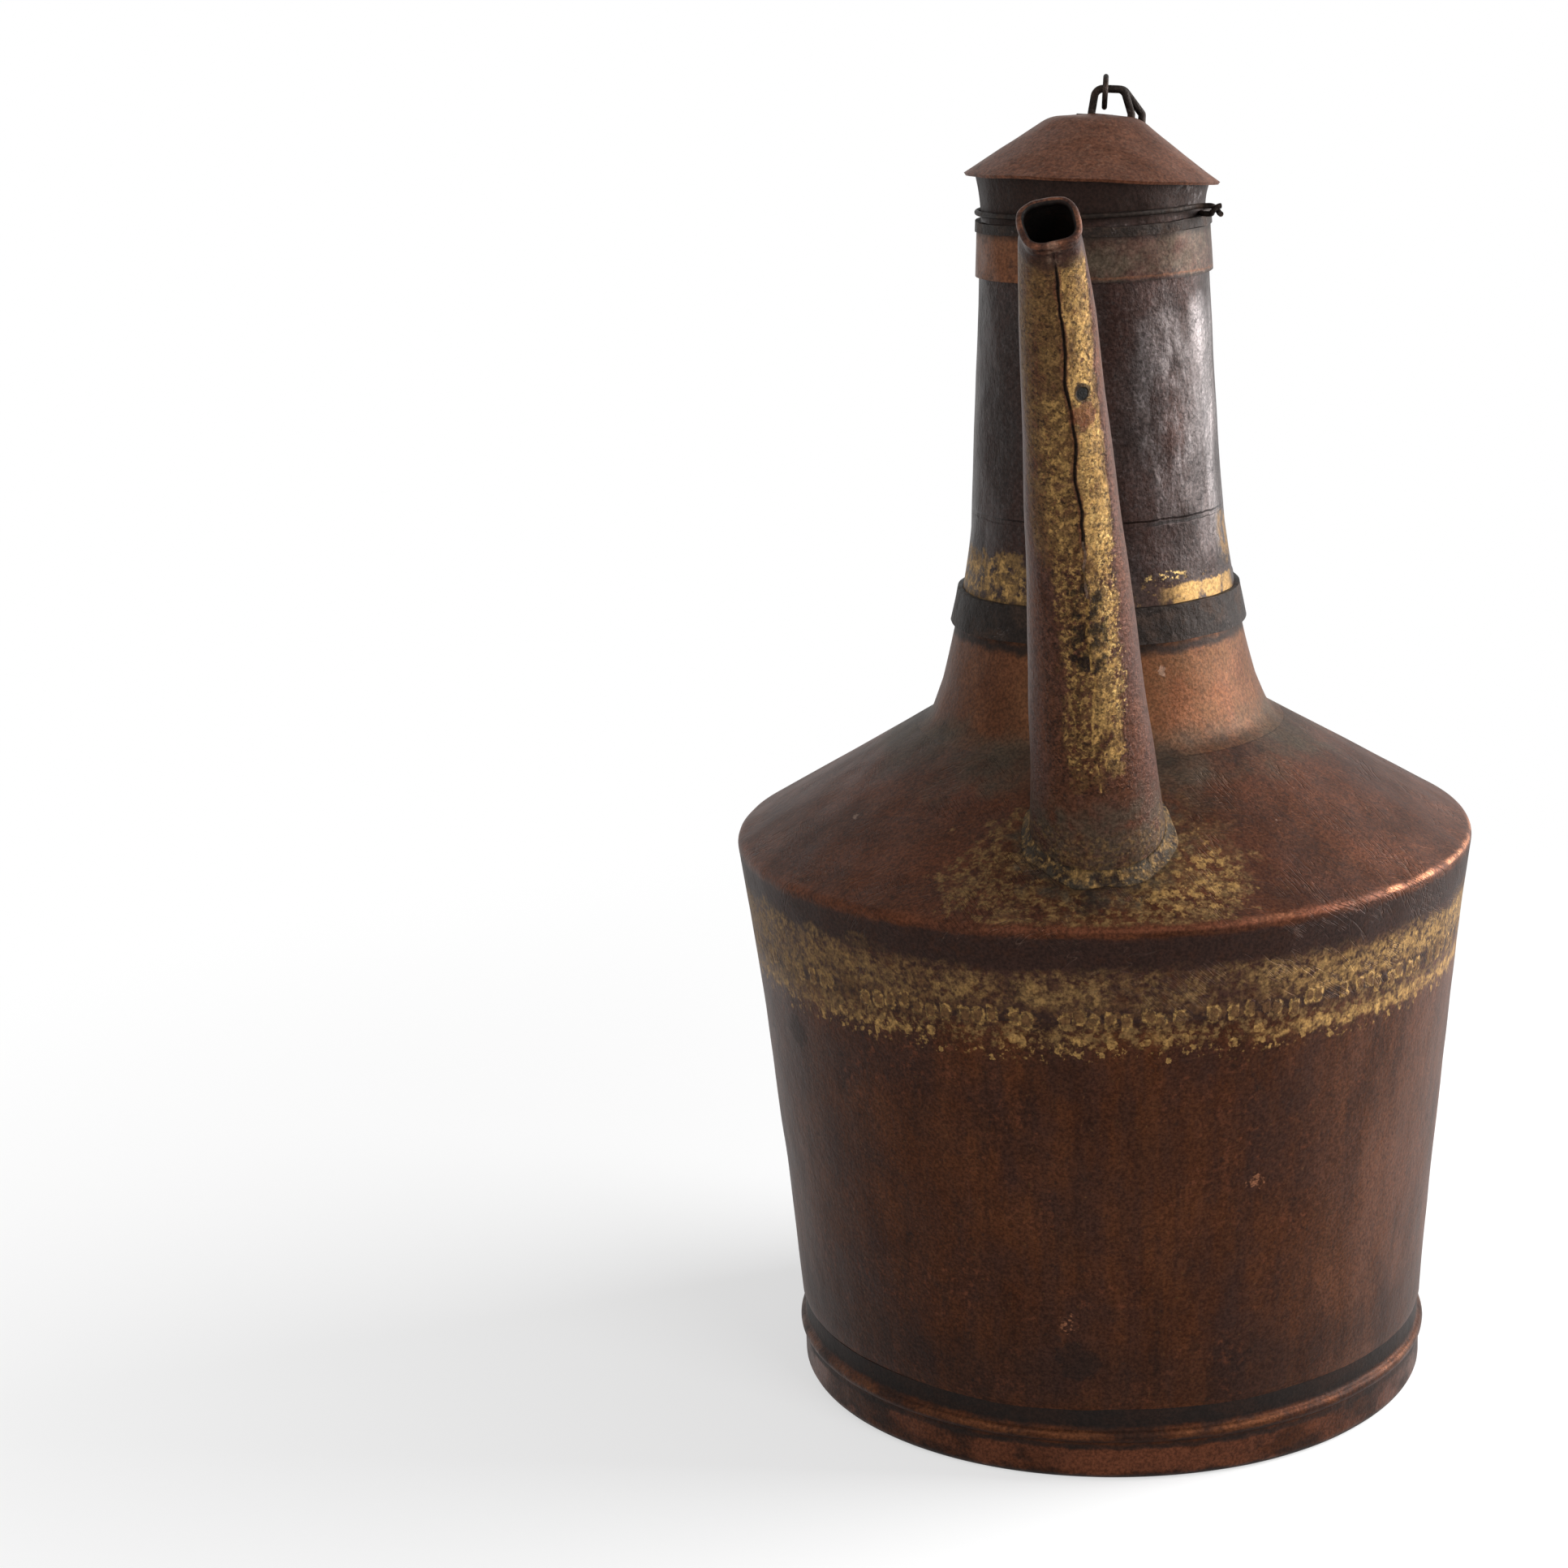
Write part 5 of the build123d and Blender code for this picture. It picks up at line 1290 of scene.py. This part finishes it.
class PITCHER_OT_bands(bpy.types.Operator):
    """Iron collar, copper band, iron strap and binding wire round the neck"""

    bl_idname = "pitcher.bands"
    bl_label = "Bands"

    def execute(self, context):
        trim = scene_group("trim")
        sheet = scene_group("vessel").sheet
        iron = forged_iron()
        low, width, ripple = trim.collar_height, trim.collar_width, trim.ripple
        collar = self.band("collar_ring", low, width, trim.iron, 2.0, ripple)
        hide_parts("neck_collar")
        dress(collar, iron)
        end = self.loose_end()
        dress(end, iron)
        low, width = trim.band_height, trim.band_width
        band = self.band("copper_band", low, width, sheet, 5.0, ripple / 3)
        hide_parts("neck_band")
        dress(band, band_copper())
        strap = self.band("iron_strap", low + width, trim.strap_width, trim.iron, 9.0, ripple)
        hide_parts("neck_strap")
        dress(strap, iron)
        dress_node("binding_wire", iron)
        dress_node("neck_seam_braze", braze_brass())
        return {"FINISHED"}

    def band(self, name, low, width, wall, seed, ripple):
        """One band round the neck, its edges uneven by one length."""
        gap = scene_group("trim").bind_gap

        def uneven(point):
            """Moves a point up or down, and outwards, a little."""
            turn = atan2(point.y, point.x)
            ring = Vector((cos(turn) * BAND_WAVES, sin(turn) * BAND_WAVES, seed))
            lift = noise.noise(ring) + 0.5 * noise.noise(ring * BAND_OVERTONE)
            out = BAND_OUTWARD * noise.noise(ring * 2.3 + Vector((5, 5, point.z * 60)))
            away = Vector((point.x, point.y, 0)).normalized()
            return point + Vector((0, 0, lift * ripple)) + away * max(0.0, out) * ripple

        piece = turned(name, sheet_between(low, low + width, wall, wall + gap), shape=uneven)
        sharpen(piece, 50)
        return piece

    def loose_end(self):
        """The end of the collar that has sprung away from the neck."""
        trim = scene_group("trim")
        skin = outline_between(trim.collar_height, trim.collar_height + trim.collar_width)
        inner = skin[0][0] + trim.bind_gap
        out = Vector((cos(trim.collar_end_angle), sin(trim.collar_end_angle), 0))
        way = Vector((-out.y, out.x, 0))
        points, faces = [], []
        for share in shares(END_STEPS):
            lift = trim.collar_end_lift * share ** 2
            place = out * (inner + lift) + way * trim.collar_end_length * (2 * share - 1)
            if share < 0.5:
                turn = trim.collar_end_angle + (share - 0.5) * 2 * trim.collar_end_length / inner
                place = Vector((cos(turn), sin(turn), 0)) * (inner + lift)
            lean = 2 * trim.collar_end_lift * share / trim.collar_end_length
            across = (out - way * lean).normalized()
            for high in shares(END_RANKS):
                waver = trim.ripple * noise.noise(Vector((share * 3, high * 3, 4.0)))
                level = trim.collar_height + trim.collar_width * high + waver * (1 + 2 * share)
                squeeze = (skin[-1][0] - skin[0][0]) * high
                for depth in (0, trim.iron):
                    points.append(place + across * (depth + squeeze) + Vector((0, 0, level)))
        row = 2 * (END_RANKS + 1)
        for step in range(END_STEPS):
            for rank in range(END_RANKS):
                a = step * row + 2 * rank
                faces.append([a + 1, a + 3, a + row + 3, a + row + 1])
                faces.append([a, a + row, a + row + 2, a + 2])
            for rank in (0, END_RANKS):
                a = step * row + 2 * rank
                faces.append([a, a + 1, a + row + 1, a + row])
        for rank in range(END_RANKS):
            for step in (0, END_STEPS):
                a = step * row + 2 * rank
                faces.append([a, a + 2, a + 3, a + 1])
        end = add_mesh("collar_loose_end", points, faces)
        sharpen(end, 50)
        return end


# The spout's shape

SpoutAxis = namedtuple("SpoutAxis", "seat up across back")
SpoutSection = namedtuple("SpoutSection", "middle way behind radius")

SPOUT_STEPS = 150
# Steps round the spout, and the closer ones at the seam, in radians from it
SPOUT_AROUND = 90
SEAM_TURNS = (-0.060, -0.045, -0.032, -0.020, -0.008, 0.008, 0.020, 0.032, 0.045, 0.060)
SEAM_REACH = 0.065
# How the seam wanders: radians, waves to the metre and a place in the noise
SEAM_WANDERS = ((0.09, 22, 0.3, 0.7), (0.10, 70, 4.3, 1.7), (0.05, 190, 8.3, 2.7))
# Width of the open seam in radians, and how much it varies
SEAM_WIDTH, SEAM_VARIES = 0.017, 0.012
# The lap and the open seam begin above the foot and end below the tip
SEAM_START, SEAM_RISE, SEAM_END = 0.05, 0.06, 0.012
# How fast the lap falls away beside the seam, for each radian
LAP_FALL = 4
# The section grows square over the last quarter of the spout
SQUARE_START, SQUARE_GROWTH, SQUARE_SHARE = 0.75, 1.5, 0.8
SQUARE_TURN = radians(10)
SPOUT_DENT = 0.00035
# A crease below the lip: distance to the tip, length and depth
CREASE_PLACE, CREASE_LENGTH, CREASE_DEPTH = 0.0045, 0.0016, 0.0007
# The lip's roll, in steps that leave its two ends to the sheet
LIP_START, LIP_TURN, LIP_STEPS = -0.30 * pi, 1.62 * pi, 12
LIP_OUTSIDE_STEPS = 7
# How far the lip stands before the edge, in its own radius, and how much its radius varies
LIP_AHEAD, LIP_VARIES = 0.9, 0.12
# The flange: its steps, its rise at the spout and at its edge, and its lumps
FLANGE_STEPS, FLANGE_RISE, FLANGE_EDGE, FLANGE_LUMPS = 8, 0.0040, 0.0006, 0.0003
# Lengths along the spout between which its foot lies, and how often they are halved
FOOT_LOW, FOOT_HIGH, FOOT_HALVINGS = -0.03, 0.04, 24


def spout_axis():
    """The spout's seat, its upward direction and its two cross directions."""
    sizes = scene_group("spout")
    seat = Vector((-sizes.seat_side, -sizes.seat_radius, cone_height(sizes.seat_radius)))
    lean = Matrix.Rotation(-sizes.side_lean, 3, "Y")
    up = lean @ Matrix.Rotation(sizes.outward, 3, "X") @ Vector((0, 0, 1))
    across = lean @ Vector((1, 0, 0))
    return SpoutAxis(seat, up, across, up.cross(across))


def spout_length():
    """Length of the spout along its axis."""
    sizes = scene_group("spout")
    return sizes.straight + sizes.bend_radius * sizes.bend_turn


def spout_section(along):
    """Middle, direction, backward direction and radius of the spout at a length along it."""
    sizes = scene_group("spout")
    seat, up, _, back = spout_axis()
    if along <= sizes.straight:
        share = along / sizes.straight
        radius = between(sizes.foot_radius, sizes.waist_radius, share)
        if share > 0:
            radius -= 4 * sizes.hollow * share * (1 - share)
        return SpoutSection(seat + up * along, up, back, radius)
    turn = (along - sizes.straight) / sizes.bend_radius
    centre = seat + up * sizes.straight - back * sizes.bend_radius
    way = up * cos(turn) - back * sin(turn)
    behind = back * cos(turn) + up * sin(turn)
    radius = between(sizes.waist_radius, sizes.tip_radius, turn / sizes.bend_turn)
    return SpoutSection(centre + behind * sizes.bend_radius, way, behind, radius)


def seam_place(along):
    """Angle of the seam from the front, to the right."""
    place = scene_group("spout").seam_angle
    for reach, waves, y, z in SEAM_WANDERS:
        place += reach * noise.noise(Vector((along * waves, y, z)))
    return place


def spout_point(along, turn, inset=0.0):
    """A point of the spout's outer skin by its turn from the seam, or of a smooth skin inside."""
    sizes = scene_group("spout")
    total = spout_length()
    middle, _, behind, radius = spout_section(min(along, total))
    place = seam_place(along) + turn
    late = max(0.0, (along - SQUARE_START * total) / ((1 - SQUARE_START) * total))
    power = 2 + SQUARE_GROWTH * late ** 2
    corner = place - SQUARE_TURN
    shape = (abs(cos(corner)) ** power + abs(sin(corner)) ** power) ** (-1 / power)
    grown = radius * (1 + (shape - 1) * SQUARE_SHARE) - inset
    if inset == 0:
        fade = min(1.0, max(0.0, (along - SEAM_START) / SEAM_RISE))
        fade *= min(1.0, (total - along) / SEAM_END)
        if turn > 0:
            grown += sizes.seam_step * exp(-turn * LAP_FALL) * fade
        width = SEAM_WIDTH + SEAM_VARIES * noise.noise(Vector((along * 90, 6.1, 3.3)))
        grown -= sizes.seam_depth * exp(-(turn / width) ** 2) * fade
        round_place = Vector((cos(place), sin(place), 0)) * 1.4
        grown += SPOUT_DENT * noise.noise(middle * 45 + round_place)
        grown -= CREASE_DEPTH * exp(-((along - (total - CREASE_PLACE)) / CREASE_LENGTH) ** 2)
    return middle + (spout_axis().across * sin(place) - behind * cos(place)) * grown


def spout_foot(turn):
    """Length along the spout at which its surface meets the shoulder."""
    low, high = FOOT_LOW, FOOT_HIGH
    for _ in range(FOOT_HALVINGS):
        test = (low + high) / 2
        point = spout_point(test, turn)
        level = cone_height(hypot(point.x, point.y))
        low, high = (low, test) if point.z > level else (test, high)
    return (low + high) / 2


class PITCHER_OT_spout(bpy.types.Operator):
    """The seamed spout with its squarish rolled lip and brazed foot"""

    bl_idname = "pitcher.spout"
    bl_label = "Spout"

    def execute(self, context):
        turns = [-pi + 2 * pi * step / SPOUT_AROUND for step in range(SPOUT_AROUND)]
        turns = sorted([turn for turn in turns if abs(turn) > SEAM_REACH] + list(SEAM_TURNS))
        feet = [spout_foot(turn) for turn in turns]
        spout = self.tube(turns, feet)
        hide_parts("spout", "spout_lip")
        dress(spout, spout_copper())
        spout.data.materials.append(spout_inside())
        outside = (SPOUT_STEPS + LIP_OUTSIDE_STEPS) * len(turns)
        for face in spout.data.polygons[outside:]:
            face.material_index = 1
        foot = self.flange(turns, feet)
        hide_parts("spout_foot_braze")
        dress(foot, foot_stains())
        return {"FINISHED"}

    def tube(self, turns, feet):
        """The outer skin, the inner one and the lip, with each point's place from the seam."""
        total = spout_length()
        wall = scene_group("vessel").sheet
        points, places = [], []

        def add_ring(ring, alongs):
            """Adds a ring of points and gives their numbers."""
            start = len(points)
            points.extend(ring)
            for turn, along in zip(turns, alongs):
                places.append((turn * spout_section(min(along, total)).radius, along))
            return list(range(start, len(points)))

        def skin(inset):
            """The rings of one side of the sheet, from the shoulder to the tip."""
            rings = []
            for share in shares(SPOUT_STEPS):
                alongs = [between(foot, total, share) for foot in feet]
                ring = [spout_point(along, turn, inset) for along, turn in zip(alongs, turns)]
                rings.append(add_ring(ring, alongs))
            return rings

        outer, inner = skin(0), skin(wall)
        lip = [add_ring(ring, [total] * len(turns)) for ring in self.lip(turns, wall)]
        spout = add_mesh("spout_tube", points, ring_faces(outer + lip + inner[::-1]))
        layer = spout.data.uv_layers.new(name="along")
        for corner in spout.data.loops:
            layer.data[corner.index].uv = places[corner.vertex_index]
        return spout

    def lip(self, turns, wall):
        """Rings of points of the rolled lip, from the outer skin to the inner one."""
        section = scene_group("spout").lip_radius
        total = spout_length()
        tip = spout_section(total)
        edges = [spout_point(total, turn) for turn in turns]
        rings = []
        for step in range(1, LIP_STEPS):
            roll = LIP_START + LIP_TURN * step / LIP_STEPS
            ring = []
            for edge in edges:
                away = edge - tip.middle
                out = (away - tip.way * away.dot(tip.way)).normalized()
                centre = edge - out * (wall / 2) + tip.way * section * LIP_AHEAD
                swell = section * (1 + LIP_VARIES * noise.noise(edge * 300))
                ring.append(centre + (out * cos(roll) + tip.way * sin(roll)) * swell)
            rings.append(ring)
        return rings

    def flange(self, turns, feet):
        """The hammered flange and lumpy brass round the spout's foot."""
        width = scene_group("spout").flange
        sink = scene_group("vessel").sheet / 2
        seat, up, _, _ = spout_axis()
        points = []
        for share in shares(FLANGE_STEPS):
            for turn, low in zip(turns, feet):
                foot = spout_point(low + FLANGE_RISE * (1 - share), turn)
                away = foot - seat
                out = (away - up * away.dot(up)).normalized()
                spread = foot + out * (width * (0.8 + 0.5 * noise.noise(out * 3)) * share)
                level = cone_height(hypot(spread.x, spread.y))
                rise = FLANGE_RISE * (1 - share) ** 2.2 + FLANGE_EDGE * (1 - share ** 6)
                rise += FLANGE_LUMPS * noise.noise(spread * 260) * (1 - share)
                rise += dent(spread.x, spread.y, level) * 0.5
                points.append(Vector((spread.x, spread.y, level + rise)))
        # the last ring closes the piece inside the sheet
        for turn, low in zip(turns, feet):
            points.append(spout_point(low, turn, sink) - Vector((0, 0, sink)))
        count = len(turns)
        rings = [list(range(first, first + count)) for first in range(0, len(points), count)]
        return add_mesh("spout_foot_flange", points, ring_faces(rings[::-1]))


# The lid's dents and small knocks, and the waves of its outermost part
LID_DENT, LID_KNOCK, LID_WAVE = 0.0005, 0.00012, 0.0004
LID_WAVE_START, LID_WAVE_WIDTH = 0.040, 0.0046
# The flat top is this much smaller inside
LID_INSIDE = 0.97
LID_AROUND = 200


class PITCHER_OT_lid(bpy.types.Operator):
    """The lid's cone, its sleeve, hinge strap, loop and link"""

    bl_idname = "pitcher.lid"
    bl_label = "Lid"

    def execute(self, context):
        lid = turned("lid_sheet", self.outline(), "lid", self.bend, dents=0, around=LID_AROUND)
        sharpen(lid, 60)
        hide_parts("lid_cone")
        dress(lid, lid_copper())
        dress_node("lid_sleeve", neck_tin())
        iron = forged_iron("lid_iron", 7.0)
        for node in (
            "lid_hinge_strap", "lid_strap_rivets", "lid_loop_front", "lid_loop_back", "lid_link",
        ):
            dress_node(node, iron)
        return {"FINISHED"}

    def outline(self):
        """Closed outline of the lid's sheet in the lid's own plane."""
        sizes = scene_group("lid")
        wall = scene_group("vessel").sheet
        rise = (sizes.radius - sizes.top_radius) * tan(sizes.slope)
        edge = (sizes.radius, sizes.edge_height)
        shoulder = (sizes.top_radius, sizes.edge_height + rise)
        top = (0, sizes.edge_height + rise + sizes.crown)
        corner = round_corner(edge, shoulder, top, sizes.top_bend)
        outer = straight(edge, corner[0], 22) + corner + straight(corner[-1], top, 8)[1:] + [top]
        inner = []
        for radius, height in outer[:-1]:
            if radius > sizes.top_radius:
                inner.append((radius - wall * sin(sizes.slope), height - wall * cos(sizes.slope)))
            else:
                inner.append((radius * LID_INSIDE, height - wall))
        inner.append((0, top[1] - wall))
        return outer + inner[::-1]

    def bend(self, point):
        """Small dents and a wavy edge, then the lid's own tilted place."""
        sag = LID_DENT * noise.noise(point * 38 + Vector((2.0, 3.0, 4.0)))
        sag += LID_KNOCK * noise.noise(point * 120)
        near_edge = max(0.0, (hypot(point.x, point.y) - LID_WAVE_START) / LID_WAVE_WIDTH)
        turn = atan2(point.y, point.x)
        sag -= LID_WAVE * near_edge * noise.noise(Vector((cos(turn) * 2, sin(turn) * 2, 7.7)))
        return lid_matrix() @ (point + Vector((0, 0, sag)))


class PITCHER_OT_handle(bpy.types.Operator):
    """The forged handle with its bracket, pin and rivets"""

    bl_idname = "pitcher.handle"
    bl_label = "Handle"

    def execute(self, context):
        iron = forged_iron("handle_iron", 13.0)
        for node in (
            "handle", "hinge_bracket", "hinge_pin", "bracket_rivets", "upper_handle_rivets",
            "lower_handle_rivet",
        ):
            dress_node(node, iron)
        return {"FINISHED"}


# The stage

# Name, place, target, size and power of each soft lamp
LAMPS = (
    ("window", (1.15, 0.20, 0.62), (0, 0, 0.20), 0.9, 36.0),
    ("fill", (-0.8, -1.3, 0.9), (0, 0, 0.22), 1.2, 7.0),
    ("front", (0.9, -1.2, 0.8), (0, 0, 0.22), 0.7, 8.0),
)
WORLD_LIGHT = 0.40
FLOOR_HALF = 30.0


def camera_matrix():
    """The camera's place and turn, from its named angles."""
    stage = scene_group("stage")
    turn, pitch, roll = stage.camera_turn, stage.camera_pitch, stage.camera_roll
    forward = Vector((-sin(turn) * cos(pitch), cos(turn) * cos(pitch), -sin(pitch)))
    right = forward.cross(Vector((0, 0, 1))).normalized()
    up = right.cross(forward)
    rolled_right = right * cos(roll) + up * sin(roll)
    rolled_up = rolled_right.cross(forward)
    turned_axes = Matrix((rolled_right, rolled_up, -forward)).transposed().to_4x4()
    place = Matrix.Translation((0, -stage.camera_distance, stage.camera_height))
    return place @ turned_axes


def shown_mask(tree):
    """1 where the camera, a reflection or glass looks."""
    seen = put(tree, "ShaderNodeLightPath").outputs
    shown = calculate(tree, "MAXIMUM", seen["Is Camera Ray"], seen["Is Glossy Ray"])
    return calculate(tree, "MAXIMUM", shown, seen["Is Transmission Ray"])


class PITCHER_OT_stage(bpy.types.Operator):
    """Camera, lamps, world and the pale floor"""

    bl_idname = "pitcher.stage"
    bl_label = "Stage"

    def execute(self, context):
        stage = scene_group("stage")
        scene = context.scene
        lens = bpy.data.cameras.new("camera")
        lens.sensor_width = stage.sensor
        lens.lens = stage.sensor * stage.focal_pixels / stage.image_pixels
        camera = bpy.data.objects.new("camera", lens)
        camera.matrix_world = camera_matrix()
        scene.collection.objects.link(camera)
        scene.camera = camera
        self.floor(scene)
        self.world(scene)
        for lamp in LAMPS:
            self.lamp(scene, *lamp)
        scene.view_settings.view_transform = "Standard"
        return {"FINISHED"}

    def floor(self, scene):
        """A wide floor that is white where it is looked at and keeps the pitcher's shadow."""
        half = FLOOR_HALF
        corners = [(-half, -half, 0), (half, -half, 0), (half, half, 0), (-half, half, 0)]
        mesh = bpy.data.meshes.new("floor")
        mesh.from_pydata(corners, [], [(0, 1, 2, 3)])
        floor = bpy.data.objects.new("floor", mesh)
        scene.collection.objects.link(floor)
        material = bpy.data.materials.new("floor")
        material.use_nodes = True
        tree = material.node_tree
        tree.nodes.clear()
        matt = put(tree, "ShaderNodeBsdfDiffuse", {"Color": (*scene_group("palette").floor, 1)})
        glow = put(tree, "ShaderNodeEmission", {"Color": (1, 1, 1, 1), "Strength": 1.0})
        place = put(tree, "ShaderNodeTexCoord").outputs["Object"]
        away = put(tree, "ShaderNodeVectorMath", {0: place}, operation="LENGTH").outputs["Value"]
        share = soften(tree, away, 0.15, 0.75, 0.55, 1.0)
        share = calculate(tree, "MULTIPLY", shown_mask(tree), share)
        mixed = put(tree, "ShaderNodeMixShader", {0: share, 1: matt.outputs[0], 2: glow.outputs[0]})
        put(tree, "ShaderNodeOutputMaterial", {0: mixed.outputs[0]})
        mesh.materials.append(material)

    def world(self, scene):
        """White where the camera and reflections look, softer as light."""
        world = bpy.data.worlds.new("studio")
        world.use_nodes = True
        scene.world = world
        tree = world.node_tree
        tree.nodes.clear()
        strength = blend_values(tree, shown_mask(tree), WORLD_LIGHT, 1.0)
        light = put(tree, "ShaderNodeBackground", {"Color": (1, 1, 1, 1), "Strength": strength})
        put(tree, "ShaderNodeOutputWorld", {0: light.outputs[0]})

    def lamp(self, scene, name, place, target, size, power):
        """A square soft lamp that faces a target."""
        light = bpy.data.lights.new(name, "AREA")
        light.size = size
        light.energy = power
        lamp = bpy.data.objects.new(name, light)
        way = Vector(place) - Vector(target)
        turn = way.to_track_quat("Z", "Y").to_matrix().to_4x4()
        lamp.matrix_world = Matrix.Translation(place) @ turn
        scene.collection.objects.link(lamp)


class PITCHER_PT_panel(bpy.types.Panel):
    """The pitcher's pieces"""

    bl_idname = "PITCHER_PT_panel"
    bl_label = "Copper pitcher"
    bl_space_type = "VIEW_3D"
    bl_region_type = "UI"
    bl_category = "Pitcher"

    def draw(self, context):
        for operator in OPERATORS:
            self.layout.operator(operator.bl_idname)
        for name in GROUPS:
            box = self.layout.box()
            group = scene_group(name)
            for key in group.bl_rna.properties.keys():
                if key not in ("rna_type", "name"):
                    box.prop(group, key)


OPERATORS = (
    PITCHER_OT_foot,
    PITCHER_OT_belly,
    PITCHER_OT_shoulder,
    PITCHER_OT_neck,
    PITCHER_OT_bands,
    PITCHER_OT_spout,
    PITCHER_OT_lid,
    PITCHER_OT_handle,
    PITCHER_OT_stage,
)
GROUPS = {
    "vessel": VesselSizes,
    "trim": TrimSizes,
    "spout": SpoutSizes,
    "lid": LidSizes,
    "palette": Palette,
    "stage": StageSizes,
}


def register():
    """Registers the classes and hangs the sizes on the scene."""
    for group in GROUPS.values():
        bpy.utils.register_class(group)
    for name, group in GROUPS.items():
        setattr(bpy.types.Scene, "pitcher_" + name, PointerProperty(type=group))
    for operator in OPERATORS:
        bpy.utils.register_class(operator)
    bpy.utils.register_class(PITCHER_PT_panel)


def unregister():
    """Takes all of that away again."""
    bpy.utils.unregister_class(PITCHER_PT_panel)
    for operator in reversed(OPERATORS):
        bpy.utils.unregister_class(operator)
    for name in GROUPS:
        delattr(bpy.types.Scene, "pitcher_" + name)
    for group in GROUPS.values():
        bpy.utils.unregister_class(group)


def main():
    """Builds the pitcher and its stage."""
    register()
    make_effects()
    for operator in OPERATORS:
        group, name = operator.bl_idname.split(".")
        getattr(getattr(bpy.ops, group), name)()


if __name__ == "__main__":
    main()
